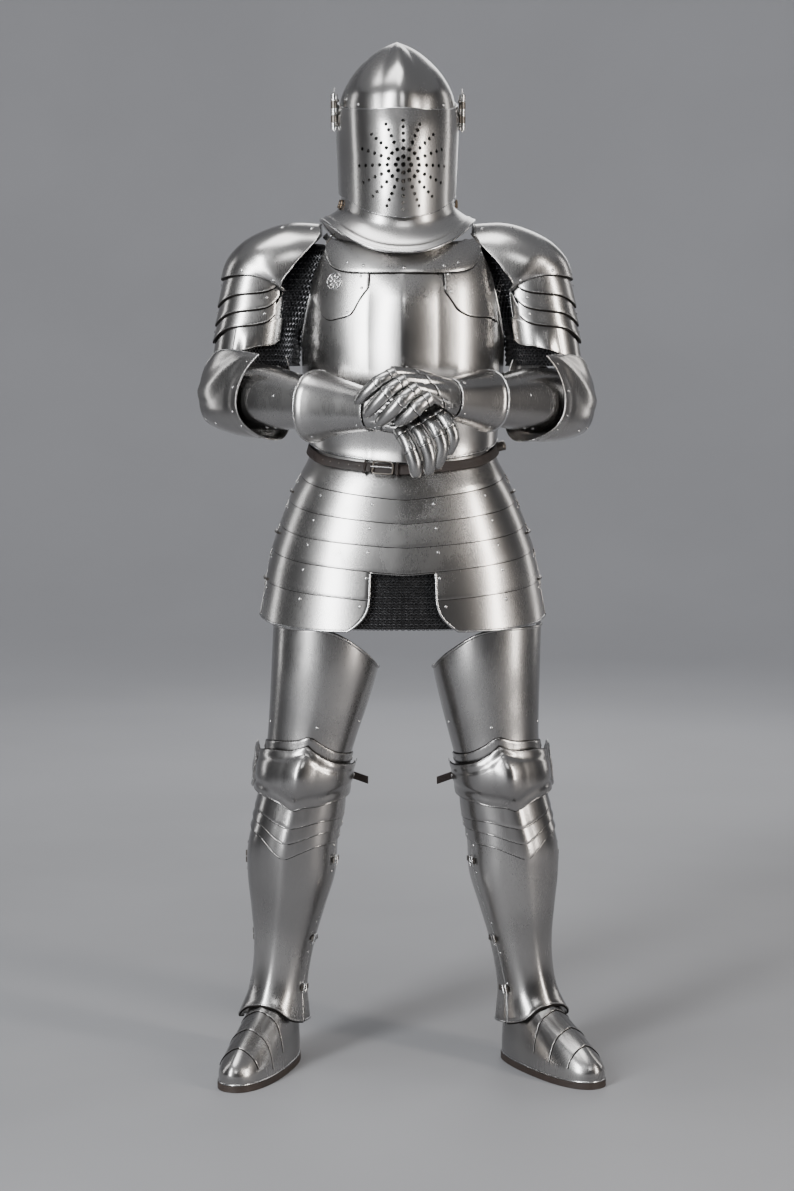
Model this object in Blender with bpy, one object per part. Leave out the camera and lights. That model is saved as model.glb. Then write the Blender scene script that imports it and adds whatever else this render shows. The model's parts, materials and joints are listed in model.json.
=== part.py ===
"""A worn suit of plate armour: hollow steel plates, mail and leather, each piece its own object.

Lengths are metres. Tables give heights above the floor, and the part's origin is at the base of the
neck, so every point is lowered by NECK_HEIGHT when it is placed. The wearer's right is -X, their left
+X, and they face -Y. Each hollow form is a Tube: a table of sections, read smoothly between its rows.
A plate is a patch of a tube, moved out from it and given its wall by a Solidify modifier.
"""

import math
from collections import namedtuple

import bmesh
import bpy
from mathutils import Vector

NECK_HEIGHT = 1.480
PLATE = 0.0015
MAIL = 0.0022
LEATHER = 0.0030
LAP = 0.0030
SEAM = 0.0005

HEAD_X = -0.010
HEAD_TURN = 4.0
VISOR_AXIS_Y = 0.010
VISOR_AXIS_HEIGHT = 1.668
SHOULDER_X = -0.010
SIDES = {"right": -1, "left": 1}
FOOT_TURN = {"right": 22.0, "left": 35.0}
ELBOW_HEIGHT = {"right": 1.188, "left": 1.174}
WRIST = {"right": Vector((-0.048, -0.240, 1.168)), "left": Vector((0.073, -0.250, 1.188))}
ELBOW_OUT = 0.290
ELBOW_Y = -0.015
CUFF_LENGTH = {"right": 0.130, "left": 0.100}
HIP_SWAY = 0.008

# ---------------------------------------------------------------- section tables

Level = namedtuple(
    "Level",
    "height x y half front back turn rise keel egg forward",
    defaults=(0.0, 0.0, 0.0, 0.0, 0.0),
)
Spine = namedtuple("Spine", "at x y z tilt out inner front back")
Limb = namedtuple("Limb", "at front back top bottom")

# height, centre x and y, half width, depth to the front and to the back
HELMET = [
    Level(1.480, 0, 0.014, 0.0890, 0.100, 0.107, 1),
    Level(1.560, 0, 0.008, 0.0935, 0.118, 0.115, 1),
    Level(1.640, 0, 0.004, 0.0980, 0.121, 0.122, 1, 0, 0.001),
    Level(1.690, 0, 0.004, 0.0960, 0.116, 0.120, 1, 0, 0.002),
    Level(1.715, 0, 0.005, 0.0865, 0.106, 0.110, 1, 0, 0.003),
    Level(1.740, 0, 0.006, 0.0700, 0.087, 0.092, 1, 0, 0.004),
    Level(1.762, 0, 0.008, 0.0480, 0.060, 0.066, 1, 0, 0.004),
    Level(1.778, 0, 0.010, 0.0260, 0.031, 0.034, 1, 0, 0.003),
    Level(1.790, 0, 0.012, 0.0001, 0.0001, 0.0001, 1),
]
VISOR = [
    Level(1.480, 0, 0.004, 0.0975, 0.137, 0.110, 1),
    Level(1.530, 0, 0.004, 0.0988, 0.146, 0.110, 1, 0, 0.001),
    Level(1.585, 0, 0.004, 0.1010, 0.149, 0.110, 1, 0, 0.002),
    Level(1.635, 0, 0.004, 0.1030, 0.142, 0.110, 1, 0, 0.002),
    Level(1.675, 0, 0.004, 0.1025, 0.129, 0.110, 1, 0, 0.001),
    Level(1.700, 0, 0.004, 0.0985, 0.121, 0.110, 1, 0, 0.001),
]
COLLAR = [
    Level(1.492, 0, 0.008, 0.0945, 0.133, 0.122, 1, 0.036),
    Level(1.470, 0, 0.008, 0.0985, 0.137, 0.125, 1, 0.040),
    Level(1.448, 0, 0.006, 0.1120, 0.146, 0.133, 1, 0.050),
    Level(1.428, 0, 0.004, 0.1320, 0.162, 0.146, 1, 0.060),
]
TORSO = [
    Level(1.475, 0, 0.004, 0.1120, 0.094, 0.090, 0, 0, 0.001),
    Level(1.440, 0, 0.002, 0.1480, 0.114, 0.108, 0, 0, 0.003),
    Level(1.400, 0, 0.000, 0.1630, 0.132, 0.126, 0, 0, 0.005),
    Level(1.345, 0, 0.000, 0.1710, 0.146, 0.136, 0, 0, 0.006),
    Level(1.275, 0, 0.000, 0.1740, 0.153, 0.134, 0, 0, 0.006),
    Level(1.200, 0, 0.000, 0.1710, 0.147, 0.121, 0, 0, 0.006),
    Level(1.140, 0, 0.000, 0.1650, 0.132, 0.109, 0, 0, 0.005),
    Level(1.095, 0, 0.000, 0.1630, 0.121, 0.102, 0, 0, 0.004),
    Level(1.060, 0, 0.000, 0.1680, 0.125, 0.107, 0, 0, 0.003),
]
HIPS = [
    Level(1.110, 0, 0.000, 0.1520, 0.108, 0.090, 0, 0, 0.002),
    Level(1.075, 0, 0.000, 0.1630, 0.117, 0.101, 0, 0, 0.003),
    Level(1.030, 0, 0.000, 0.1860, 0.132, 0.122, 0, 0, 0.004),
    Level(0.970, 0, 0.002, 0.2100, 0.145, 0.140, 0, 0, 0.004),
    Level(0.910, 0, 0.004, 0.2290, 0.154, 0.154, 0, 0, 0.003),
    Level(0.850, 0, 0.004, 0.2400, 0.160, 0.162, 0, 0, 0.002),
    Level(0.790, 0, 0.004, 0.2490, 0.164, 0.168, 0, 0, 0.001),
]
MAIL_SKIRT = [
    Level(0.960, 0, 0.002, 0.2030, 0.136, 0.134),
    Level(0.880, 0, 0.004, 0.2260, 0.147, 0.150),
    Level(0.795, 0, 0.004, 0.2380, 0.153, 0.160),
]
MAIL_SLEEVE = [
    Level(1.446, 0.186, 0.002, 0.0480, 0.044, 0.050),
    Level(1.420, 0.190, 0.000, 0.0650, 0.050, 0.052),
    Level(1.370, 0.208, 0.000, 0.0690, 0.050, 0.050),
    Level(1.330, 0.222, 0.000, 0.0630, 0.046, 0.046),
    Level(1.298, 0.231, -0.002, 0.0520, 0.043, 0.043),
    Level(1.262, 0.234, -0.004, 0.0530, 0.042, 0.042),
]
ARM = [
    Level(1.425, 0.225, 0.000, 0.0560, 0.066, 0.066),
    Level(1.390, 0.236, 0.000, 0.0600, 0.068, 0.068),
    Level(1.345, 0.242, 0.000, 0.0615, 0.067, 0.067),
    Level(1.300, 0.249, -0.002, 0.0610, 0.064, 0.064),
    Level(1.255, 0.257, -0.004, 0.0600, 0.061, 0.061),
]
# distance along the shoulder, centre, lean of the outward direction, reach outward, inward, front, back
SHOULDER = [
    Spine(0.000, 0.134, 0.004, 1.402, 92, 0.078, 0.040, 0.073, 0.078),
    Spine(0.045, 0.176, 0.002, 1.404, 82, 0.078, 0.050, 0.079, 0.082),
    Spine(0.085, 0.210, 0.000, 1.398, 60, 0.073, 0.060, 0.080, 0.082),
    Spine(0.120, 0.226, 0.000, 1.392, 36, 0.070, 0.064, 0.076, 0.078),
    Spine(0.150, 0.235, 0.000, 1.388, 12, 0.066, 0.066, 0.073, 0.074),
    Spine(0.180, 0.239, 0.000, 1.366, 2, 0.067, 0.067, 0.072, 0.072),
]
# distance from the elbow along the forearm, reach to the front, back, top and bottom
COUTER = [
    Limb(0.092, 0.063, 0.056, 0.108, 0.066),
    Limb(0.050, 0.062, 0.058, 0.111, 0.066),
    Limb(0.012, 0.057, 0.057, 0.105, 0.062),
    Limb(-0.014, 0.049, 0.051, 0.082, 0.057),
    Limb(-0.036, 0.036, 0.040, 0.051, 0.047),
    Limb(-0.053, 0.0001, 0.0001, 0.0001, 0.0001),
]
# angle, and how far forward along the forearm the elbow plate's wings reach there
COUTER_RIM = (
    (-218, 0.088),
    (-150, 0.100),
    (-90, 0.118),
    (-60, 0.108),
    (-30, 0.088),
    (0, 0.080),
    (20, 0.092),
    (44, 0.116),
)
FOREARM = [
    Limb(0.040, 0.050, 0.044, 0.057, 0.054),
    Limb(0.100, 0.049, 0.043, 0.056, 0.051),
    Limb(0.160, 0.043, 0.038, 0.047, 0.044),
    Limb(0.230, 0.036, 0.032, 0.036, 0.036),
]
# distance back from the wrist
CUFF = [
    Limb(-0.130, 0.056, 0.045, 0.056, 0.062),
    Limb(-0.100, 0.048, 0.041, 0.049, 0.051),
    Limb(-0.050, 0.040, 0.035, 0.040, 0.040),
    Limb(0.000, 0.032, 0.029, 0.032, 0.032),
]
LEG = [
    Level(0.800, 0.137, 0.000, 0.0960, 0.098, 0.094, 0, 0, 0.002),
    Level(0.720, 0.141, 0.000, 0.0930, 0.094, 0.088, 0, 0, 0.003),
    Level(0.650, 0.150, 0.000, 0.0850, 0.086, 0.080, 0.05, 0, 0.003),
    Level(0.590, 0.160, 0.000, 0.0770, 0.079, 0.070, 0.1, 0, 0.004),
    Level(0.530, 0.171, 0.000, 0.0720, 0.077, 0.062, 0.2, 0, 0.004),
    Level(0.470, 0.180, 0.002, 0.0740, 0.077, 0.064, 0.3, 0, 0.004),
    Level(0.400, 0.194, 0.004, 0.0770, 0.076, 0.078, 0.4, 0, 0.004),
    Level(0.345, 0.197, 0.006, 0.0755, 0.071, 0.080, 0.5, 0, 0.004),
    Level(0.285, 0.203, 0.008, 0.0635, 0.062, 0.068, 0.6, 0, 0.004),
    Level(0.230, 0.209, 0.010, 0.0530, 0.054, 0.056, 0.7, 0, 0.003),
    Level(0.180, 0.215, 0.010, 0.0480, 0.052, 0.049, 0.8, 0, 0.003),
    Level(0.135, 0.221, 0.010, 0.0485, 0.060, 0.048, 0.9, 0, 0.003),
    Level(0.100, 0.225, 0.010, 0.0560, 0.080, 0.051, 1.0, 0, 0.003),
    Level(0.070, 0.227, 0.010, 0.0600, 0.092, 0.056, 1.0, 0, 0.003),
]
KNEE = [
    Level(0.600, 0.160, 0.000, 0.0810, 0.0835, 0.080, 0.1, 0, 0.004),
    Level(0.575, 0.165, 0.000, 0.0830, 0.0885, 0.080, 0.1, 0, 0.005),
    Level(0.545, 0.170, 0.000, 0.0845, 0.0990, 0.080, 0.2, 0, 0.008),
    Level(0.515, 0.174, 0.000, 0.0835, 0.0985, 0.080, 0.2, 0, 0.008),
    Level(0.485, 0.178, 0.001, 0.0805, 0.0880, 0.080, 0.3, 0, 0.005),
    Level(0.465, 0.181, 0.002, 0.0795, 0.0845, 0.080, 0.3, 0, 0.004),
]
FOOT = [
    Level(0.008, 0.223, 0.002, 0.0430, 0.132, 0.124, 1, 0, 0.0, 0.16, 0.064),
    Level(0.032, 0.223, 0.002, 0.0430, 0.132, 0.122, 1, 0, 0.002, 0.14, 0.062),
    Level(0.056, 0.223, 0.002, 0.0400, 0.114, 0.110, 1, 0, 0.004, 0.10, 0.052),
    Level(0.080, 0.223, 0.004, 0.0370, 0.092, 0.088, 1, 0, 0.004, 0.05, 0.034),
    Level(0.100, 0.223, 0.006, 0.0360, 0.070, 0.066, 1, 0, 0.003, 0.02, 0.016),
    Level(0.120, 0.223, 0.008, 0.0360, 0.050, 0.050, 1, 0, 0.002, 0.00, 0.004),
]

# ---------------------------------------------------------------- reading the tables


def smooth(pairs, at):
    """The value at a station, by a cubic curve through (station, value) pairs, straight past the ends."""
    pairs = sorted(pairs)
    if at <= pairs[0][0]:
        low, high = pairs[0], pairs[1]
        return low[1] + (at - low[0]) * (high[1] - low[1]) / (high[0] - low[0])
    if at >= pairs[-1][0]:
        low, high = pairs[-2], pairs[-1]
        return high[1] + (at - high[0]) * (high[1] - low[1]) / (high[0] - low[0])
    i = next(i for i in range(len(pairs) - 1) if at <= pairs[i + 1][0])
    (s0, v0), (s1, v1) = pairs[i], pairs[i + 1]
    step = s1 - s0
    slope = (v1 - v0) / step
    before, after = slope, slope
    if i > 0:
        before = (v1 - pairs[i - 1][1]) / (s1 - pairs[i - 1][0])
    if i + 2 < len(pairs):
        after = (pairs[i + 2][1] - v0) / (pairs[i + 2][0] - s0)
    t = (at - s0) / step
    rest = 1 - t
    start = v0 * (1 + 2 * t) * rest**2 + before * step * t * rest**2
    return start + v1 * (3 - 2 * t) * t**2 - after * step * rest * t**2


def column(rows, name, at):
    """One column of a section table, read at a station. The first column holds the stations."""
    return smooth([(row[0], getattr(row, name)) for row in rows], at)


class Tube:
    """A hollow form. Angles are in degrees from its front, and grow towards the wearer's outer side."""

    keel_width = 28.0
    power = 2.3

    def __init__(self, rows, side=1, shift_x=0.0, full_turn=0.0):
        self.rows = rows
        self.side = side
        self.shift_x = shift_x
        self.full_turn = full_turn

    def read(self, name, at):
        return column(self.rows, name, at)

    def round_pair(self, angle):
        """Sine and cosine of a slightly squared circle."""
        sine, cosine = math.sin(math.radians(angle)), math.cos(math.radians(angle))
        power = 2 / self.power
        return math.copysign(abs(sine) ** power, sine), math.copysign(abs(cosine) ** power, cosine)

    def frame(self, angle, at):
        """Centre of the section and the point on it, before the tube is mirrored to its side."""
        raise NotImplementedError

    def normal(self, angle, at):
        """Outward direction of the surface, before mirroring."""
        step_angle, step_at = 0.5, 0.0005
        centre, here = self.frame(angle, at)
        across = self.frame(angle + step_angle, at)[1] - self.frame(angle - step_angle, at)[1]
        along = self.frame(angle, at + step_at)[1] - self.frame(angle, at - step_at)[1]
        outward = across.cross(along)
        if outward.dot(here - centre) < 0:
            outward.negate()
        return outward.normalized()

    def point(self, angle, at, out=0.0):
        """A point of the form, moved out by `out`, in the part's frame."""
        place = self.frame(angle, at)[1]
        if out:
            place = place + self.normal(angle, at) * out
        return Vector((self.side * place.x + self.shift_x, place.y, place.z - NECK_HEIGHT))


class LevelTube(Tube):
    """Level sections at heights above the floor."""

    def frame(self, angle, at):
        half = self.read("half", at)
        reach = self.read("front", at) if math.cos(math.radians(angle)) > 0 else self.read("back", at)
        across, ahead = self.round_pair(angle)
        turn = math.radians(self.read("turn", at) * self.full_turn)
        from_front = abs((angle + 180) % 360 - 180)
        ridge = self.read("keel", at) * max(0.0, 1 - from_front / self.keel_width)
        side = half * across * (1 + self.read("egg", at) * ahead)
        front = reach * ahead + ridge + self.read("forward", at)
        rise = self.read("rise", at) * math.sin(math.radians(angle)) ** 2
        centre = Vector((self.read("x", at), self.read("y", at), at))
        ahead_way = Vector((math.sin(turn), -math.cos(turn), 0))
        side_way = Vector((math.cos(turn), math.sin(turn), 0))
        return centre + ahead_way * self.read("forward", at), (
            centre + side_way * side + ahead_way * front + Vector((0, 0, rise))
        )


class SpineTube(Tube):
    """Sections that follow the shoulder over and down. Angle 0 is the ridge, and +90 the front."""

    def frame(self, angle, at):
        tilt = math.radians(self.read("tilt", at))
        out_way = Vector((math.cos(tilt), 0, math.sin(tilt)))
        across, ahead = self.round_pair(angle)
        reach = self.read("out", at) if math.cos(math.radians(angle)) > 0 else self.read("inner", at)
        depth = self.read("front", at) if math.sin(math.radians(angle)) > 0 else self.read("back", at)
        centre = Vector((self.read("x", at), self.read("y", at), self.read("z", at)))
        return centre, centre + out_way * reach * ahead + Vector((0, -depth * across, 0))


class LimbTube(Tube):
    """Sections square to a straight forearm. Angle 0 is its front, +90 its top."""

    def __init__(self, rows, start, end, zero):
        super().__init__(rows)
        self.start = start
        self.axis = (end - start).normalized()
        self.zero = zero
        self.up = (Vector((0, 0, 1)) - self.axis * self.axis.z).normalized()
        self.front = self.axis.cross(self.up)
        if self.front.y > 0:
            self.front.negate()

    def frame(self, angle, at):
        across, ahead = self.round_pair(angle)
        high = self.read("top", at) if across > 0 else self.read("bottom", at)
        reach = self.read("front", at) if ahead > 0 else self.read("back", at)
        centre = self.start + self.axis * (self.zero + at)
        return centre, centre + self.up * high * across + self.front * reach * ahead


# ---------------------------------------------------------------- making solids


def clear_scene():
    for old in list(bpy.data.objects):
        bpy.data.objects.remove(old)


def material(name, colour, metallic, roughness):
    made = bpy.data.materials.new(name)
    made.use_nodes = True
    shader = made.node_tree.nodes["Principled BSDF"]
    shader.inputs["Base Color"].default_value = (*colour, 1)
    shader.inputs["Metallic"].default_value = metallic
    shader.inputs["Roughness"].default_value = roughness
    return made


def add_object(name, mesh_builder, look, origin=None):
    """A new object from a bmesh, smooth where it is round, with its origin where it turns."""
    mesh = bpy.data.meshes.new(name)
    if origin is not None:
        bmesh.ops.translate(mesh_builder, verts=mesh_builder.verts, vec=-origin)
    mesh_builder.to_mesh(mesh)
    mesh_builder.free()
    mesh.shade_smooth()
    mesh.set_sharp_from_angle(angle=math.radians(35))
    made = bpy.data.objects.new(name, mesh)
    if origin is not None:
        made.location = origin
    mesh.materials.append(look(name))
    bpy.context.scene.collection.objects.link(made)
    return made


def steel(name):
    return material(name, (0.56, 0.56, 0.57), 1.0, 0.30)


def mail_look(name):
    return material(name, (0.06, 0.06, 0.065), 0.8, 0.55)


def leather(name):
    return material(name, (0.07, 0.035, 0.022), 0.0, 0.6)


def brass(name):
    return material(name, (0.60, 0.42, 0.20), 1.0, 0.4)


def add_wall(made, thickness):
    """Gives a sheet its wall, outward from the sheet."""
    wall = made.modifiers.new("Wall", "SOLIDIFY")
    wall.thickness = thickness
    wall.offset = 1.0
    wall.use_even_offset = True
    wall.use_quality_normals = True
    return made


def patch(name, tube, columns, rows, sides, top, bottom, out=(0.0, 0.0), wall=PLATE, look=steel, **more):
    """A plate on a tube.

    `sides` gives the first and last angle for a share down the plate, `top` and `bottom` the stations of
    its edges at an angle, and `out` how far the top and the bottom edge stand off the tube. `gap` tells
    which parts of the grid are left open, from the angle and the share down the plate.
    """
    gap, origin = more.get("gap"), more.get("origin")
    sheet = bmesh.new()
    bmesh.ops.create_grid(sheet, x_segments=columns, y_segments=rows, size=0.5)
    if gap:
        first, last = sides(0.0)
        middles = {face: face.calc_center_median() for face in sheet.faces}
        turns = {face: first + (last - first) * (mid.x + 0.5) for face, mid in middles.items()}
        opened = [face for face, mid in middles.items() if gap(turns[face], 0.5 - mid.y)]
        bmesh.ops.delete(sheet, geom=opened, context="FACES")
    for vert in sheet.verts:
        share_across, share_down = vert.co.x + 0.5, 0.5 - vert.co.y
        first, last = sides(share_down)
        angle = first + (last - first) * share_across
        at = top(angle) + (bottom(angle) - top(angle)) * share_down
        vert.co = tube.point(angle, at, out[0] + (out[1] - out[0]) * share_down)
    bmesh.ops.remove_doubles(sheet, verts=sheet.verts, dist=0.0004)
    return add_wall(finish_sheet(name, sheet, tube, look, origin), wall)


def finish_sheet(name, sheet, tube, look, origin):
    """Turns the sheet's faces away from the tube's inside."""
    sheet.normal_update()
    facing = 0.0
    for face in sheet.faces:
        facing += face.normal.dot(face.calc_center_median() - inside_of(tube, face)) * face.calc_area()
    if facing < 0:
        bmesh.ops.reverse_faces(sheet, faces=sheet.faces)
    return add_object(name, sheet, look, origin)


def inside_of(tube, face):
    """A point inside the tube, level with the face where the sections are level."""
    at = tube.rows[2][0]
    if isinstance(tube, LevelTube):
        at = face.calc_center_median().z + NECK_HEIGHT
    centre = tube.frame(0, at)[0]
    return Vector((tube.side * centre.x + tube.shift_x, centre.y, centre.z - NECK_HEIGHT))


def steady(first, last):
    """Sides that keep the same angles all the way down a plate."""
    return lambda share: (first, last)


def at_height(value):
    return lambda angle: value


def edge(*pairs):
    """An edge line through (angle, station) pairs, the same on both sides of the front."""
    return lambda angle: smooth(pairs, abs(angle))


def back_edge(*pairs):
    """An edge line at the back, through (angle from the middle of the back, station) pairs."""
    return lambda angle: smooth(pairs, abs(abs(angle) - 180))


def free_edge(*pairs):
    """An edge line through (angle, station) pairs that differs from side to side."""
    return lambda angle: smooth(pairs, angle)


# ---------------------------------------------------------------- helmet

HEAD = {"shift_x": HEAD_X, "full_turn": HEAD_TURN}
VISOR_PIVOT = Vector((HEAD_X, VISOR_AXIS_Y, VISOR_AXIS_HEIGHT - NECK_HEIGHT))
VISOR_HALF_ANGLE = 96.0
HINGE_TALL = 0.058
HINGE_RADIUS = 0.0050
PIVOT_RADIUS = 0.013
ARM_THICK = 0.0026
ARM_GAP = 0.0012
BARREL_AHEAD = 0.030


def make_skull():
    patch(
        "helmet_skull",
        LevelTube(HELMET, **HEAD),
        columns=20,
        rows=7,
        sides=steady(-180, 180),
        top=at_height(HELMET[-1].height),
        bottom=edge((0, 1.660), (45, 1.650), (70, 1.600), (88, 1.520), (110, 1.500), (180, 1.490)),
        out=(0.0, 0.0),
    )


def make_visor():
    patch(
        "visor",
        LevelTube(VISOR, **HEAD),
        columns=14,
        rows=5,
        sides=steady(-VISOR_HALF_ANGLE, VISOR_HALF_ANGLE),
        top=edge((0, 1.667), (40, 1.668), (70, 1.676), (96, 1.690)),
        bottom=edge((0, 1.487), (30, 1.497), (60, 1.518), (96, 1.536)),
        origin=VISOR_PIVOT,
    )


def make_visor_hinge(name, side):
    """An arm from the temple pivot forward to an upright hinge barrel on the visor's edge."""
    turn = math.radians(HEAD_TURN)
    side_way = Vector((math.cos(turn), math.sin(turn), 0)) * side
    ahead_way = Vector((math.sin(turn), -math.cos(turn), 0))
    inner = VISOR[3].half + PLATE + ARM_GAP
    arm = bmesh.new()
    bmesh.ops.create_circle(arm, cap_ends=True, segments=12, radius=PIVOT_RADIUS)
    for vert in arm.verts:
        if vert.co.x > PIVOT_RADIUS * 0.4:
            vert.co.x = BARREL_AHEAD
            vert.co.y = math.copysign(HINGE_TALL * 0.36, vert.co.y) if abs(vert.co.y) > 0.001 else vert.co.y
    for vert in arm.verts:
        vert.co = VISOR_PIVOT + side_way * inner + ahead_way * vert.co.x + Vector((0, 0, vert.co.y))
    grown = bmesh.ops.extrude_face_region(arm, geom=list(arm.faces))
    moved = [item for item in grown["geom"] if isinstance(item, bmesh.types.BMVert)]
    bmesh.ops.translate(arm, verts=moved, vec=side_way * ARM_THICK)
    bmesh.ops.recalc_face_normals(arm, faces=arm.faces)
    barrel = bmesh.new()
    bmesh.ops.create_cone(
        barrel, cap_ends=True, segments=10, radius1=HINGE_RADIUS, radius2=HINGE_RADIUS, depth=HINGE_TALL
    )
    centre = VISOR_PIVOT + side_way * (inner + HINGE_RADIUS) + ahead_way * BARREL_AHEAD
    bmesh.ops.translate(barrel, verts=barrel.verts, vec=centre)
    cutter = add_object(name + "_barrel", barrel, steel, VISOR_PIVOT)
    cutter.hide_render = True
    cutter.display_type = "WIRE"
    made = add_object(name, arm, steel, VISOR_PIVOT)
    union = made.modifiers.new("Barrel", "BOOLEAN")
    union.operation = "UNION"
    union.object = cutter


def make_collar():
    patch(
        "helmet_collar",
        LevelTube(COLLAR, **HEAD),
        columns=20,
        rows=4,
        sides=steady(-180, 180),
        top=at_height(COLLAR[0].height),
        bottom=at_height(COLLAR[-1].height),
    )


COLLAR_BUCKLE_STAND_OFF = PLATE + 0.0012
COLLAR_BUCKLE_WALL = 0.0025


def make_collar_buckle():
    """A small square buckle on the right side of the collar."""
    tube = LevelTube(COLLAR, **HEAD)
    patch(
        "collar_buckle",
        tube,
        columns=2,
        rows=2,
        sides=steady(-86, -76),
        top=at_height(1.484),
        bottom=at_height(1.466),
        out=(COLLAR_BUCKLE_STAND_OFF, COLLAR_BUCKLE_STAND_OFF),
        look=brass,
        wall=COLLAR_BUCKLE_WALL,
    )


# ---------------------------------------------------------------- body


NECK_OUT = 2 * PLATE + 0.0022


def neck_plate_bottom(angle):
    front = ((0, 1.394), (30, 1.396), (44, 1.406), (54, 1.430), (62, 1.450), (90, 1.457))
    back = ((90, 1.457), (118, 1.450), (126, 1.436), (140, 1.418), (180, 1.410))
    return smooth(front if abs(angle) < 90 else back, abs(angle))


def make_neck_plate():
    patch(
        "neck_plate",
        LevelTube(TORSO),
        columns=32,
        rows=2,
        sides=steady(-180, 180),
        top=edge((0, 1.440), (45, 1.448), (90, 1.462), (135, 1.450), (180, 1.450)),
        bottom=neck_plate_bottom,
        out=(NECK_OUT, NECK_OUT),
    )


breast_top = edge((0, 1.424), (30, 1.434), (52, 1.452), (60, 1.405), (68, 1.345), (79, 1.288), (90, 1.268))
breast_bottom = edge((0, 1.076), (45, 1.090), (90, 1.112))
back_top = back_edge((0, 1.440), (35, 1.446), (52, 1.450), (60, 1.405), (68, 1.345), (79, 1.288), (90, 1.268))
belt_middle = edge((0, 1.062), (45, 1.074), (90, 1.094), (135, 1.084), (180, 1.074))


def make_breastplate():
    patch(
        "breastplate",
        LevelTube(TORSO),
        columns=16,
        rows=8,
        sides=steady(-87, 87),
        top=breast_top,
        bottom=breast_bottom,
    )


def make_backplate():
    patch(
        "backplate",
        LevelTube(TORSO),
        columns=16,
        rows=7,
        sides=steady(93, 267),
        top=back_top,
        bottom=back_edge((0, 1.090), (90, 1.112)),
    )


CHEST_STAND_OFF = PLATE + 0.0016


def make_chest_plate(name, side):
    """A shaped plate riveted over the upper corner of the breastplate."""
    patch(
        name,
        LevelTube(TORSO, side=side),
        columns=4,
        rows=4,
        sides=steady(21.75, 65.25),
        top=lambda angle: min(neck_plate_bottom(angle), breast_top(angle)) - 0.0015,
        bottom=free_edge((21, 1.374), (27, 1.352), (34, 1.336), (44, 1.322), (54, 1.318), (66, 1.312)),
        out=(CHEST_STAND_OFF, CHEST_STAND_OFF),
    )


BELT_HALF_WIDTH = 0.008
BELT_STAND_OFF = (0.0064, 0.0062)
BUCKLE_HALF_WIDTH = 0.010
BUCKLE_STAND_OFF = (0.0108, 0.0106)
BUCKLE_WALL = 0.003


def make_belt():
    patch(
        "belt",
        LevelTube(HIPS),
        columns=32,
        rows=1,
        sides=steady(-180, 180),
        top=lambda angle: belt_middle(angle) + BELT_HALF_WIDTH,
        bottom=lambda angle: belt_middle(angle) - BELT_HALF_WIDTH,
        out=BELT_STAND_OFF,
        look=leather,
        wall=LEATHER,
    )


def make_belt_buckle():
    """A plain oblong buckle frame at the front of the belt."""
    patch(
        "belt_buckle",
        LevelTube(HIPS),
        columns=2,
        rows=2,
        sides=steady(-14, -3),
        top=lambda angle: belt_middle(angle) + BUCKLE_HALF_WIDTH,
        bottom=lambda angle: belt_middle(angle) - BUCKLE_HALF_WIDTH,
        out=BUCKLE_STAND_OFF,
        wall=BUCKLE_WALL,
    )


HipLine = namedtuple("HipLine", "front quarter side")
# heights of the lower edge of each hip lame at the front, half-way round and at the side seam
HIP_LINES = [
    HipLine(1.100, 1.104, 1.108),
    HipLine(1.014, 1.032, 1.056),
    HipLine(0.974, 0.990, 1.012),
    HipLine(0.934, 0.948, 0.970),
    HipLine(0.890, 0.906, 0.926),
    HipLine(0.842, 0.856, 0.872),
    HipLine(0.792, 0.794, 0.808),
]
HIP_LAP = 0.010
HIP_SEAM_ANGLE = 82.0
PART_ANGLE = 11.0
PART_ROUNDING = 8.0


def hip_line(index, raise_by=0.0):
    line = HIP_LINES[index]
    return edge((0, line.front + raise_by), (45, line.quarter + raise_by), (90, line.side + raise_by))


def make_fauld_hoop(index):
    """A front hoop of the hip skirt. The fifth is cut away at the front, below the edge of the fourth."""
    parted = index == 5
    patch(
        f"fauld_lame_{index}",
        LevelTube(HIPS),
        columns=16,
        rows=4 if parted else 3 if index == 1 else 1,
        sides=steady(-HIP_SEAM_ANGLE, HIP_SEAM_ANGLE),
        top=hip_line(index - 1, HIP_LAP if index > 1 else 0.0),
        bottom=hip_line(index),
        out=(0.0, LAP),
        gap=(lambda angle, share: abs(angle) < PART_ANGLE and share > 0.25) if parted else None,
    )


def make_hem_lame(side_name, side):
    """Half of the lowest hoop, with a rounded corner where the skirt is parted."""
    patch(
        f"fauld_lame_6_{side_name}",
        LevelTube(HIPS, side=side),
        columns=7,
        rows=3,
        sides=lambda share: (PART_ANGLE + PART_ROUNDING * share**3, HIP_SEAM_ANGLE),
        top=hip_line(5, HIP_LAP),
        bottom=hip_line(6),
        out=(-0.0004, LAP),
    )


def make_culet():
    """The back of the hip skirt."""
    patch(
        "culet",
        LevelTube(HIPS),
        columns=16,
        rows=5,
        sides=steady(84, 276),
        top=at_height(1.096),
        bottom=back_edge((0, 0.796), (90, 0.806)),
        out=(0.0, LAP),
    )


def make_mail_skirt():
    patch(
        "mail_skirt",
        LevelTube(MAIL_SKIRT),
        columns=24,
        rows=2,
        sides=steady(-180, 180),
        top=at_height(MAIL_SKIRT[0].height),
        bottom=at_height(MAIL_SKIRT[-1].height),
        look=mail_look,
        wall=MAIL,
    )


# ---------------------------------------------------------------- arms

# how far each lame, then the upper cannon, reaches round the front and the back of the arm
LAME_REACH = (38.0, 34.0, 30.0)
CANNON_REACH = 46.0
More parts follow.
